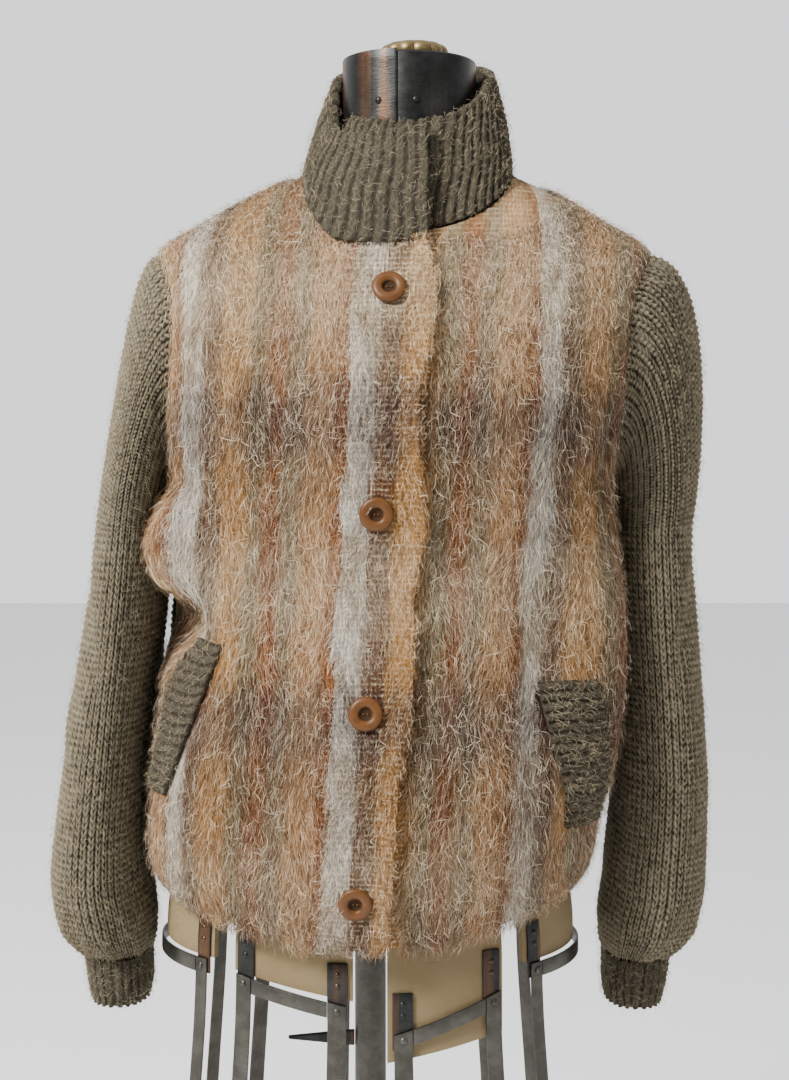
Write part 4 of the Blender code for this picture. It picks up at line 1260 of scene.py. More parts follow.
def stitched(cloth, repeats, courses, stitch, relief, seed):
    """The cloth's outside in stitches, with how far each point of it is raised."""
    rng = np.random.default_rng(seed)
    across = (np.arange(repeats)[:, None] + stitch.column("across")[None, :]).ravel()
    crest = np.tile(stitch.column("crest"), repeats)
    gap = np.tile(stitch.column("gap"), repeats)
    shift = np.tile(stitch.column("shift"), repeats)
    across = np.append(across, repeats)
    crest, gap, shift = (np.append(column, column[0]) for column in (crest, gap, shift))
    line = np.arange(2 * courses + 1)
    raised = np.where((line % 2)[:, None] == 0, crest[None, :], gap[None, :])
    up = np.clip((line[:, None] + 2 * shift[None, :]) / (2 * courses), 0, 1)
    size = cloth.points.shape
    sway = STITCH_SWAY * np.sin(line[:, None] * 0.37 + across[None, :] * 0.21) * (not cloth.wraps)
    side = np.clip((across[None, :] + sway) / repeats, 0, 1)
    wide = size[1] if cloth.wraps else size[1] - 1
    points, normals, _ = cloth.read(up * (size[0] - 1), side * wide)
    uneven = rng.normal(0, STITCH_UNEVEN, raised.shape)
    uneven[:, -1] = uneven[:, 0]
    raised = np.clip(raised + uneven, -0.2, 1.2)
    return points + normals * (relief * (raised - STITCH_MIDDLE))[..., None], raised


def add_skin(shape, grid, raised=None, places=None, inside=False):
    """A grid of faces through these points, with its marks for the finish."""
    rows, columns = grid.shape[:2]
    bmesh.ops.create_grid(shape, x_segments=columns - 1, y_segments=rows - 1, size=1)
    single, triple = shape.verts.layers.float, shape.verts.layers.float_vector
    raised_layer = single.get("raised") or single.new("raised")
    place_layer = triple.get("cloth") or triple.new("cloth")
    marks = np.full(rows * columns, PLAIN_MARK) if raised is None else raised.ravel()
    spots = np.zeros((rows * columns, 3)) if places is None else places.reshape(-1, 3)
    shape.verts.ensure_lookup_table()
    first = len(shape.verts) - rows * columns
    for i, (point, mark, spot) in enumerate(zip(grid.reshape(-1, 3), marks, spots)):
        vert = shape.verts[first + i]
        vert.co = point
        vert[raised_layer] = mark
        vert[place_layer] = spot
    if inside:
        shape.verts.index_update()
        own = [f for f in shape.faces if f.verts[0].index >= first]
        bmesh.ops.reverse_faces(shape, faces=own)


def thinned(grid, row_step, column_step):
    """Every few rows and columns of a grid, the last ones among them."""
    rows = np.unique(np.append(np.arange(0, grid.shape[0], row_step), grid.shape[0] - 1))
    columns = np.unique(np.append(np.arange(0, grid.shape[1], column_step), grid.shape[1] - 1))
    return grid[np.ix_(rows, columns)]


def wall(outer, inner, raised=None, places=None, inner_places=None, wraps=False):
    """A closed wall between an outside and an inside skin, bridged at every edge."""
    shape = bmesh.new()
    add_skin(shape, outer, raised, places)
    add_skin(shape, inner, None, inner_places, inside=True)
    if wraps:
        bmesh.ops.remove_doubles(shape, verts=shape.verts, dist=MERGE_DISTANCE)
        edges = [e for e in shape.edges if e.is_boundary]
        middle = np.mean([e.verts[0].co.z for e in edges])
        for end in (True, False):
            ring = [e for e in edges if (e.verts[0].co.z > middle) == end]
            bmesh.ops.bridge_loops(shape, edges=ring)
    else:
        bmesh.ops.bridge_loops(shape, edges=[e for e in shape.edges if e.is_boundary])
    bmesh.ops.recalc_face_normals(shape, faces=shape.faces)
    return shape


def turned(profile, steps):
    """A solid turned about Z from a profile of radius and height that starts and ends on it."""
    shape = bmesh.new()
    verts = [shape.verts.new((radius, 0, height)) for radius, height in profile]
    edges = [shape.edges.new(pair) for pair in zip(verts, verts[1:])]
    bmesh.ops.spin(shape, geom=verts + edges, cent=(0, 0, 0), axis=(0, 0, 1),
                   angle=2 * math.pi, steps=steps, use_merge=True)
    bmesh.ops.remove_doubles(shape, verts=shape.verts, dist=MERGE_DISTANCE)
    bmesh.ops.recalc_face_normals(shape, faces=shape.faces)
    return shape


def join(shape, part, matrix=None):
    """Adds a part to a shape, moved by a matrix, and lets the part go."""
    if matrix is not None:
        bmesh.ops.transform(part, matrix=matrix, verts=part.verts)
    held = bpy.data.meshes.new("held")
    part.to_mesh(held)
    part.free()
    shape.from_mesh(held)
    bpy.data.meshes.remove(held)


def facing(point, normal):
    """The place of a turned part whose axis points along the normal."""
    turn = Vector(normal).to_track_quat("Z", "Y").to_matrix().to_4x4()
    return Matrix.Translation(Vector(point)) @ turn


def piece_from(name, mesh, material, nodes=()):
    """A piece of the scene, which takes the place of the solids at these nodes."""
    mesh.materials.append(material)
    piece = bpy.data.objects.new(name, mesh)
    bpy.context.scene.collection.objects.link(piece)
    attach(piece, "root")
    if nodes:
        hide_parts(*nodes)
    return piece


def finished(shape, name, material, nodes=(), sharp=None):
    """A smooth piece from a shape, with its edges sharp above an angle in degrees, if given."""
    mesh = bpy.data.meshes.new(name)
    shape.to_mesh(mesh)
    shape.free()
    mesh.shade_smooth()
    if sharp is not None:
        mesh.set_sharp_from_angle(angle=math.radians(sharp))
    return piece_from(name, mesh, material, nodes)


def fibres(name, cloth, count, seed, material, style, density=None):
    """Loose or combed fibres on a cloth, as narrow strips with pointed ends that follow it."""
    rng = np.random.default_rng(seed)
    across, along = cloth.steps()
    weight = across * along
    if density is not None:
        weight = weight * density(cloth.places[:-1, : weight.shape[1]])
    cells = rng.choice(weight.size, count, p=(weight / weight.sum()).ravel())
    row, column = np.unravel_index(cells, weight.shape)
    rows = row + rng.random(count)
    columns = column + rng.random(count)
    roots = cloth.read(rows, columns)[2]
    size = style["length"] * rng.uniform(style["shortest"], 1.0, count)
    if "short" in style:
        size = size * style["short"](roots)
    angle = rng.normal(style["turn"], style["spread"], count)
    drift = np.sin(rows * 0.23 + columns * 0.13) + np.sin(columns * 0.37 - rows * 0.09)
    angle += style["clumps"] * drift
    lift = style["lift"] * rng.uniform(0.25, 1.0, count)
    phase = rng.uniform(0, 2 * math.pi, count)
    wave = style["wave"] * rng.normal(0, 1, count)
    twist = rng.normal(0, style["twist"], count)
    tint = rng.random(count)
    steps = style["segments"]
    shares = np.linspace(0, 1, steps + 1)
    path = []
    outs = []
    for t in shares:
        sway = wave * (np.sin(phase + 6.5 * t) - np.sin(phase))
        down = np.cos(angle) * size * t - np.sin(angle) * sway
        side = np.sin(angle) * size * t + np.cos(angle) * sway
        at_row, at_column = rows - down / along[row, column], columns + side / across[row, column]
        point, normal, _ = cloth.read(at_row, at_column)
        path.append(point + normal * (style["root"] + lift * np.sin(t * style["arch"]))[:, None])
        outs.append(normal)
    path, outs = np.stack(path, axis=1), np.stack(outs, axis=1)
    tangent = unit(np.gradient(path, axis=1))
    flat = unit(np.cross(tangent, outs))
    twist = twist[:, None, None]
    edge = flat * np.cos(twist) + unit(np.cross(flat, tangent)) * np.sin(twist)
    half = edge[:, 1:-1] * style["width"] / 2
    pairs = np.stack([path[:, 1:-1] - half, path[:, 1:-1] + half], axis=2).reshape(count, -1, 3)
    points = np.concatenate([path[:, :1], pairs, path[:, -1:]], axis=1)
    each = 2 * steps
    strip = [(0, 1, 2)]
    for left in range(1, each - 3, 2):
        strip += [(left, left + 2, left + 1), (left + 1, left + 2, left + 3)]
    strip.append((each - 3, each - 1, each - 2))
    corners = (np.arange(count)[:, None, None] * each + np.array(strip)[None]).reshape(-1, 3)
    mesh = bpy.data.meshes.new(name)
    mesh.vertices.add(points.size // 3)
    mesh.vertices.foreach_set("co", points.astype(np.float32).ravel())
    mesh.loops.add(corners.size)
    mesh.loops.foreach_set("vertex_index", corners.astype(np.int32).ravel())
    mesh.polygons.add(len(corners))
    mesh.polygons.foreach_set("loop_start", np.arange(0, corners.size, 3, dtype=np.int32))
    mesh.update(calc_edges=True)
    places_along = np.concatenate([shares[:1], np.repeat(shares[1:-1], 2), shares[-1:]])
    marks = {"tint": np.repeat(tint, each), "along": np.tile(places_along, count)}
    for mark, values in marks.items():
        made = mesh.attributes.new(mark, "FLOAT", "POINT")
        made.data.foreach_set("value", values.astype(np.float32))
    spots = np.repeat(roots, each, axis=0).astype(np.float32)
    made = mesh.attributes.new("cloth", "FLOAT_VECTOR", "POINT")
    made.data.foreach_set("vector", spots.ravel())
    mesh.shade_smooth()
    return piece_from(name, mesh, material)


def knit_fuzz(name, cloth, kind, which=0):
    """The loose fibres of a knitted piece of this kind, the first or second of its pair."""
    settings = bpy.context.scene.jacket_cloth
    style = {
        "length": settings.fuzz_length, "shortest": 0.35, "turn": 0.0, "spread": 1.6, "clumps": 0.0,
        "lift": 0.0065, "arch": 1.7, "wave": 0.0012, "twist": 0.9, "root": 0.0006,
        "width": settings.fuzz_width, "segments": 3,
    }
    material = bpy.data.materials.get("wool_fuzz") or wool_fuzz()
    seed = FUZZ_SEEDS[kind] + which
    return fibres(name, cloth, FUZZ_FIBRES[kind], seed, material, style)


def knit_material():
    return bpy.data.materials.get("wool_knit") or wool_knit("wool_knit", 1.0)


# A darker copy of the knit's finish for the ribs: painted shade on the collar, cuffs and welts
def rib_material():
    return bpy.data.materials.get("wool_rib") or wool_knit("wool_rib", RIB_SHADE)


def plain_knit(cloth, repeats, run, seed):
    """The cloth's outside in plain stitches."""
    relief = bpy.context.scene.jacket_cloth.stitch_relief
    return stitched(cloth, repeats, round(run / KNIT_COURSE), KNIT_STITCH, relief, seed)


def ribbed(cloth, repeats, seed):
    """The cloth's outside in rib."""
    relief = bpy.context.scene.jacket_cloth.rib_relief
    run = cloth.span()[1]
    return stitched(cloth, repeats, round(run / RIB_COURSE), RIB_STITCH, relief, seed)


def welt_edges(side, heights):
    """Girths of a welt's two edges at these heights, and which heights lie on it."""
    welt = WELTS[side]
    down = np.clip((welt["top"] - heights) / (welt["top"] - welt["bottom"]), 0, 1)
    inner = np.array([welt_start(welt, height, share) for height, share in zip(heights, down)])
    inside = (heights < welt["top"]) & (heights > welt["bottom"])
    return inner, inner + WELT_WIDTH, inside


def nap_density(side):
    """How thickly fibres grow: thin on the placket, and none under the lap, buttons and welts."""
    levels = np.linspace(HEM_HEIGHT, FRONT_TOP_HEIGHT, NAP_LEVELS)
    starts, ends = np.array([front_edges(side, level) for level in levels]).T
    inner, outer, inside = welt_edges(side, levels)
    inner = np.where(inside, inner, np.inf)
    outer = np.where(inside, outer, -np.inf)
    covered = 0.0 if side == "right" else NAP_UNDER_LAP

    def density(places):
        girth, height = places[..., 0], places[..., 1]
        away = own_side(side, girth)
        level = np.round((height - levels[0]) / (levels[1] - levels[0])).astype(int)
        level = np.clip(level, 0, NAP_LEVELS - 1)
        welted = (away > inner[level] - NAP_WELT_GAP) & (away < outer[level] + NAP_WELT_GAP)
        outside = (away < starts[level] + covered) | (away > ends[level])
        thin = 1 - PLACKET_THIN_SHARE * (1 - ease(away, *PLACKET_THIN)) * (side == "right")
        thin = np.where(welted | outside, 0.0, thin)
        if side == "right":
            beside = girth + BUTTON_FROM_CENTRE
            for centre in BUTTON_HEIGHTS:
                over = height - centre
                near = np.hypot(beside, over) < BUTTON_RADIUS + NAP_BUTTON_GAP
                above = (np.abs(beside) < BUTTON_RADIUS) & (over > 0) & (over < NAP_OVER_BUTTON)
                thin = np.where(near, 0.0, np.where(above, thin * NAP_OVER_BUTTON_SHARE, thin))
        return thin

    return density


def nap_shortness(side):
    """How long fibres are for their kind: shorter on the placket and the yoke."""

    def short(places):
        away = own_side(side, places[..., 0])
        placket = PLACKET_SHORT_SHARE * (1 - ease(away, *PLACKET_SHORT)) * (side == "right")
        yoke = YOKE_SHORT_SHARE * ease(places[..., 1], *YOKE_SHORT)
        return NAP_LONGEST - np.maximum(placket, yoke)

    return short


class JACKET_OT_fronts(bpy.types.Operator):
    """Weave the two fronts and brush up their nap"""

    bl_idname = "jacket.fronts"
    bl_label = "Mohair Fronts"

    def execute(self, context):
        settings = context.scene.jacket_cloth
        ground = mohair_ground()
        nap = mohair_nap("mohair_nap", 1.0)
        # A paler copy of the nap's finish for the loose curls: partly painted highlight where they
        # catch the light
        paler = mohair_nap("mohair_curls", 1.8)
        combed = {
            "length": settings.nap_length, "lift": settings.nap_lift, "width": settings.nap_width,
            "shortest": 0.4, "turn": 0.0, "spread": 0.24, "clumps": 0.16, "arch": 2.2,
            "wave": 0.0013, "twist": 0.6, "root": 0.0002, "segments": 2,
        }
        curled = {
            "length": settings.nap_length * 0.8, "lift": settings.nap_lift * 1.7,
            "width": settings.curl_width, "shortest": 0.3, "turn": 0.1, "spread": 0.85,
            "clumps": 0.2, "arch": 1.9, "wave": 0.0024, "twist": 0.8, "root": 0.0012, "segments": 4,
        }
        for which, side in enumerate(SIDES):
            cloth = front_cloth(side)
            inner = thinned(cloth.moved(-CLOTH_WALL), 5, 4)
            spots = thinned(cloth.places, 5, 4)
            shape = wall(cloth.moved(0.0), inner, None, cloth.places, spots)
            front = finished(shape, f"front_{side}_weave", ground, [f"front_{side}"])
            combed["short"] = curled["short"] = nap_shortness(side)
            field = front_field(side)
            thick = nap_density(side)
            locks = fibres(f"front_{side}_nap", field, settings.nap_fibres, NAP_SEED + which,
                           nap, combed, thick)
            loose = fibres(f"front_{side}_curls", field, settings.curls, CURL_SEED + which,
                           paler, curled, thick)
        return {"FINISHED"}


class JACKET_OT_back(bpy.types.Operator):
    """Knit the back"""

    bl_idname = "jacket.back"
    bl_label = "Knitted Back"

    def execute(self, context):
        cloth = creased(back_cloth(), "back")
        girth, run = cloth.span()
        outer, raised = plain_knit(cloth, round(girth / KNIT_WALE), run, STITCH_SEEDS["back"])
        shape = wall(outer, thinned(cloth.moved(-KNIT_WALL), 6, 5), raised)
        back = finished(shape, "back_knit", knit_material(), ["back"])
        fuzz = knit_fuzz("back_fuzz", cloth, "back")
        return {"FINISHED"}


class JACKET_OT_sleeves(bpy.types.Operator):
    """Knit the two sleeves"""

    bl_idname = "jacket.sleeves"
    bl_label = "Knitted Sleeves"

    def execute(self, context):
        for which, side in enumerate(SIDES):
            cloth = creased(sleeve_cloth(side), f"sleeve_{side}")
            repeats = round(cloth.span()[0] / KNIT_WALE)
            run = cloth.run(-1)[-1]
            outer, raised = plain_knit(cloth, repeats, run, STITCH_SEEDS["sleeve"] + which)
            inner = thinned(cloth.moved(-KNIT_WALL), 5, 4)
            shape = wall(outer, inner, raised, wraps=True)
            node = f"sleeve_{side}"
            sleeve = finished(shape, f"{node}_knit", knit_material(), [node])
            fuzz = knit_fuzz(f"{node}_fuzz", cloth, "sleeve", which)
        return {"FINISHED"}


class JACKET_OT_cuffs(bpy.types.Operator):
    """Rib the two cuffs"""

    bl_idname = "jacket.cuffs"
    bl_label = "Ribbed Cuffs"

    def execute(self, context):
        for which, side in enumerate(SIDES):
            cloth = cuff_cloth(side)
            outer, raised = ribbed(cloth, CUFF_RIBS, STITCH_SEEDS["cuff"] + which)
            shape = wall(outer, thinned(cloth.moved(-KNIT_WALL), 4, 4), raised, wraps=True)
            cuff = finished(shape, f"cuff_{side}_rib", rib_material(), [f"cuff_{side}"])
            fuzz = knit_fuzz(f"cuff_{side}_fuzz", cloth, "cuff", which)
        return {"FINISHED"}


class JACKET_OT_collar(bpy.types.Operator):
    """Rib the standing collar, lapped in front"""

    bl_idname = "jacket.collar"
    bl_label = "Ribbed Collar"

    def execute(self, context):
        settings = context.scene.jacket_cloth
        cloth = collar_cloth()
        girth, run = cloth.span()
        ribs = round(girth / RIB_PITCH)
        turns = collar_turns(ribs * len(RIB_STITCH.values) + 1)
        relief = settings.rib_relief * (1 - 0.5 * ease(turns, *COLLAR_FLAT_START))
        courses = round(run / RIB_COURSE)
        outer, raised = stitched(cloth, ribs, courses, RIB_STITCH, relief, STITCH_SEEDS["collar"])
        outside = cloth.points[:COLLAR_ROWS]
        inward = normals_of(outside) * np.array([1, 1, 0])
        inner = thinned(outside - unit(inward) * COLLAR_WALL, 6, 4)
        inner[-1, :, 2] -= COLLAR_INNER_DROP
        shape = wall(outer, inner, raised)
        collar = finished(shape, "collar_rib", rib_material(), ["collar"])
        fuzz = knit_fuzz("collar_fuzz", cloth, "collar")
        return {"FINISHED"}


class JACKET_OT_welts(bpy.types.Operator):
    """Rib the two pocket welts"""

    bl_idname = "jacket.welts"
    bl_label = "Pocket Welts"

    def execute(self, context):
        for which, side in enumerate(SIDES):
            cloth = welt_cloth(side)
            outer, raised = ribbed(cloth, WELT_RIBS, STITCH_SEEDS["welt"] + which)
            shape = wall(outer, thinned(cloth.moved(-KNIT_WALL), 5, 4), raised)
            node = f"pocket_welt_{side}"
            welt = finished(shape, f"{node}_rib", rib_material(), [node])
            fuzz = knit_fuzz(f"{node}_fuzz", cloth, "welt", which)
        return {"FINISHED"}


class JACKET_OT_buttons(bpy.types.Operator):
    """Turn the four buttons and sew them on"""

    bl_idname = "jacket.buttons"
    bl_label = "Buttons"

    def execute(self, context):
        material = button_finish()
        rim = BUTTON_THICKNESS
        well = rim - BUTTON_WELL_DEPTH
        inside, outside = BUTTON_WELL_RADIUS, BUTTON_RADIUS
        profile = [
            (0.0, well - 0.0004),
            (inside * 0.5, well - 0.0003),
            (inside * 0.86, well),
            (inside * 0.98, well + 0.0008),
        ]
        middle, half = (inside + outside) / 2, (outside - inside) / 2
        for turn in np.linspace(math.pi, -0.5 * math.pi, 15):
            profile.append((middle + half * math.cos(turn), rim * 0.5 + rim * 0.5 * math.sin(turn)))
        profile.append((0.0, 0.0))
        knot = [
            (0.0, well + 0.0012),
            (0.0005, well + 0.0010),
            (0.0009, well + 0.0002),
            (0.0, well - 0.0006),
        ]
        steps = np.array([-BUTTON_SEAT_STEP, 0, BUTTON_SEAT_STEP])
        for number, height in enumerate(BUTTON_HEIGHTS, 1):
            girths = BUTTON_FROM_CENTRE + steps
            lines = [front_row("right", level, girths) for level in height + steps]
            grid = mirrored(np.array(lines))
            normal = Vector(normals_of(grid)[1, 1])
            seat = Vector(leaned(grid[1, 1])) + normal * BUTTON_CLEARANCE
            shape = turned(profile, 48)
            well_layer = shape.verts.layers.float.new("well")
            for vert in shape.verts:
                sunk = math.hypot(vert.co.x, vert.co.y) < inside and vert.co.z > 0.0005
                vert[well_layer] = float(sunk)
            for x in (-BUTTON_HOLE_FROM_CENTRE, BUTTON_HOLE_FROM_CENTRE):
                join(shape, turned(knot, 10), Matrix.Translation((x, 0, 0)))
            bmesh.ops.transform(shape, matrix=facing(seat, normal), verts=shape.verts)
            node = f"button_{number}"
            finished(shape, f"{node}_turned", material, [node], sharp=50)
        return {"FINISHED"}


def button_finish():
    """Brown horn with darker clouds, painted shade in the sunken well, and a gloss rubbed by use.
    """
    finish = Finish("button_horn")
    shade = bpy.context.scene.jacket_colours.button
    place = finish.place()
    cloud = finish.noise(place, 160.0, 3.0)
    grain = finish.noise(finish.stretched(place, 1, 1, 0.3), 900.0, 2.0)
    dark = tuple(0.45 * c for c in shade)
    base = finish.mix(cloud.between(0.35, 0.75) * 0.55 + grain * 0.15, shade, dark)
    # Painted shade: the sunken well darkens to a small share of the horn's colour
    base = finish.mix(finish.attribute("well") * 0.85, base, tuple(0.12 * c for c in shade))
    finish.shader.inputs["Specular IOR Level"].default_value = 0.25
    rough = grain * 0.18 + finish.attribute("well") * 0.4 + 0.34
    return finish.surface(base_color=base, roughness=rough, normal=finish.bump(grain, 0.0002, 0.4))


def canvas_finish():
    """Unbleached canvas: a fine plain weave with painted shade in its hollows, faintly stained."""
    finish = Finish("canvas_cover")
    shade = bpy.context.scene.form_finish.canvas
    place = finish.place()
    parts = finish.node("ShaderNodeSeparateXYZ", {}, {0: place})
    ends = ((parts.output("X") + parts.output("Y") * 0.6) * (2 * math.pi / CANVAS_PITCH)).sine()
    picks = (parts.output("Z") * (2 * math.pi / CANVAS_PITCH)).sine()
    weave = (ends * picks) * 0.5 + 0.5
    brown_marks = finish.noise(place, 14.0, 4.0, 0.6).between(0.35, 0.75)
    slub = finish.noise(finish.stretched(place, 60, 60, 900), 1.0, 2.0)
    stained_and_shaded = tuple(a * b for a, b in zip(shade, CANVAS_STAIN_AND_SHADE))
    base = finish.mix(brown_marks * 0.55 + slub * 0.2, shade, stained_and_shaded)
    # Painted shade in the hollows of the weave, in the darker stained tint
    base = finish.mix((1.0 - weave) * 0.25, base, stained_and_shaded)
    relief = finish.bump(weave + slub * 0.6, 0.0004)
    return finish.surface(base_color=base, roughness=0.88, normal=relief)


def metal_finish(name, shade, roughness, wear, metallic=0.9, brown_marks=None):
    """Bare or blacked metal, rubbed by handling, with upright brown streaks where it has them:
    painted reflection of the jacket.
    """
    finish = Finish(name)
    place = finish.place()
    cloud = finish.noise(place, 42.0, 5.0, 0.65)
    scratch = finish.noise(finish.stretched(place, 140, 140, 1500), 1.0, 3.0)
    rubbed = tuple(min(1.0, c * 2.2 + 0.03) for c in shade)
    dull = tuple(c * 0.45 for c in shade)
    base = finish.mix(cloud.between(0.42, 0.72) * wear, shade, rubbed)
    base = finish.mix(scratch.between(0.55, 0.75) * 0.5, base, dull)
    # Upright brown streaks: painted reflection of the brown jacket in the metal
    if brown_marks:
        run = finish.noise(finish.stretched(place, 62, 62, 2.5), 1.0, 2.0).between(0.52, 0.72)
        base = finish.mix(run * 0.8, base, brown_marks)
    rough = cloud * 0.35 + scratch * 0.12 + (roughness - 0.2)
    relief = finish.bump(scratch, 0.0003, 0.5)
    return finish.surface(base_color=base, roughness=rough, metallic=metallic, normal=relief)


def form_points(table, heights, turns):
    """Points of the dress form at these heights and turns from the centre front, in radians."""
    heights, turns = np.broadcast_arrays(np.asarray(heights, float), np.asarray(turns, float))
    depth = np.where(np.cos(turns) > 0, table.at("front", heights), table.at("back", heights))
    x = table.at("half_width", heights) * np.sin(turns)
    return np.stack([x, -depth * np.cos(turns), heights], axis=-1)


class JACKET_OT_form_body(bpy.types.Operator):
    """Build the dress form's body and its hip panels"""

    bl_idname = "jacket.form_body"
    bl_label = "Form Body"

    def execute(self, context):
        canvas = canvas_finish()
        turns = np.linspace(0, 2 * math.pi, 73)
        heights = np.linspace(BODICE_BOTTOM, BODICE.values[-1, 0], 60)
        grid = leaned(form_points(BODICE, heights[:, None], turns[None, :]))
        grid[:, -1] = grid[:, 0]
        shape = bmesh.new()
        add_skin(shape, grid)
        bmesh.ops.remove_doubles(shape, verts=shape.verts, dist=MERGE_DISTANCE)
        bmesh.ops.holes_fill(shape, edges=[e for e in shape.edges if e.is_boundary])
        bmesh.ops.recalc_face_normals(shape, faces=shape.faces)
        finished(shape, "form_body_cover", canvas, ["form_bodice"], sharp=60)
        for panel in HIP_PANELS:
            turns = np.radians(np.linspace(panel["start"], panel["end"], 36))
            bottom = np.linspace(panel["bottom_start"], panel["bottom_end"], 36)
            grid = form_points(HIPS, np.linspace(bottom, HIP_PANEL_TOP, 24), turns[None, :])
            shape = wall(grid, thinned(grid - normals_of(grid) * HIP_SHELL, 4, 4))
            node = f"form_hip_{panel['name']}"
            finished(shape, f"{node}_cover", canvas, [node], sharp=50)
        return {"FINISHED"}


def turn_width(width):
    """A width at the side of the hips as a turn, in degrees."""
    return math.degrees(width / HIPS.at("half_width", 0.7))


def cage_points(turns, heights, top):
    """Points of the cage's inner face, which flares out as it goes down. Turns are in degrees."""
    turns, heights = np.broadcast_arrays(np.radians(turns), np.asarray(heights, float))
    points = form_points(HIPS, np.maximum(heights, HIPS.values[0, 0]), turns)
    points[..., 2] = heights
    out = unit(points * np.array([1, 1, 0]))
    lift = SEAM_GAP + TAB_THICKNESS + SEAM_GAP
    flare = CAGE_FLARE * ease(top - heights, 0.0, top - CAGE_BOTTOM)
    return points + out * (lift + flare)[..., None]


def add_plate(shape, grid, thickness):
    """A bent plate with softened edges, from its inner face."""
    plate = wall(grid + normals_of(grid) * thickness, grid)
    sharp = [e for e in plate.edges if e.is_manifold and e.calc_face_angle() > 0.9]
    bmesh.ops.bevel(plate, geom=sharp, offset=thickness * 0.3, affect="EDGES", segments=2,
                    profile=0.5, material=-1)
    join(shape, plate)


def add_rivet(shape, point, normal, radius=RIVET_RADIUS):
    """A domed rivet head, its foot sunk a little."""
    dome = [
        (0.0, radius * 0.5),
        (radius * 0.5, radius * 0.43),
        (radius * 0.85, radius * 0.22),
        (radius, 0.0),
        (0.0, -radius * 0.2),
    ]
    join(shape, turned(dome, 14), facing(point, normal))


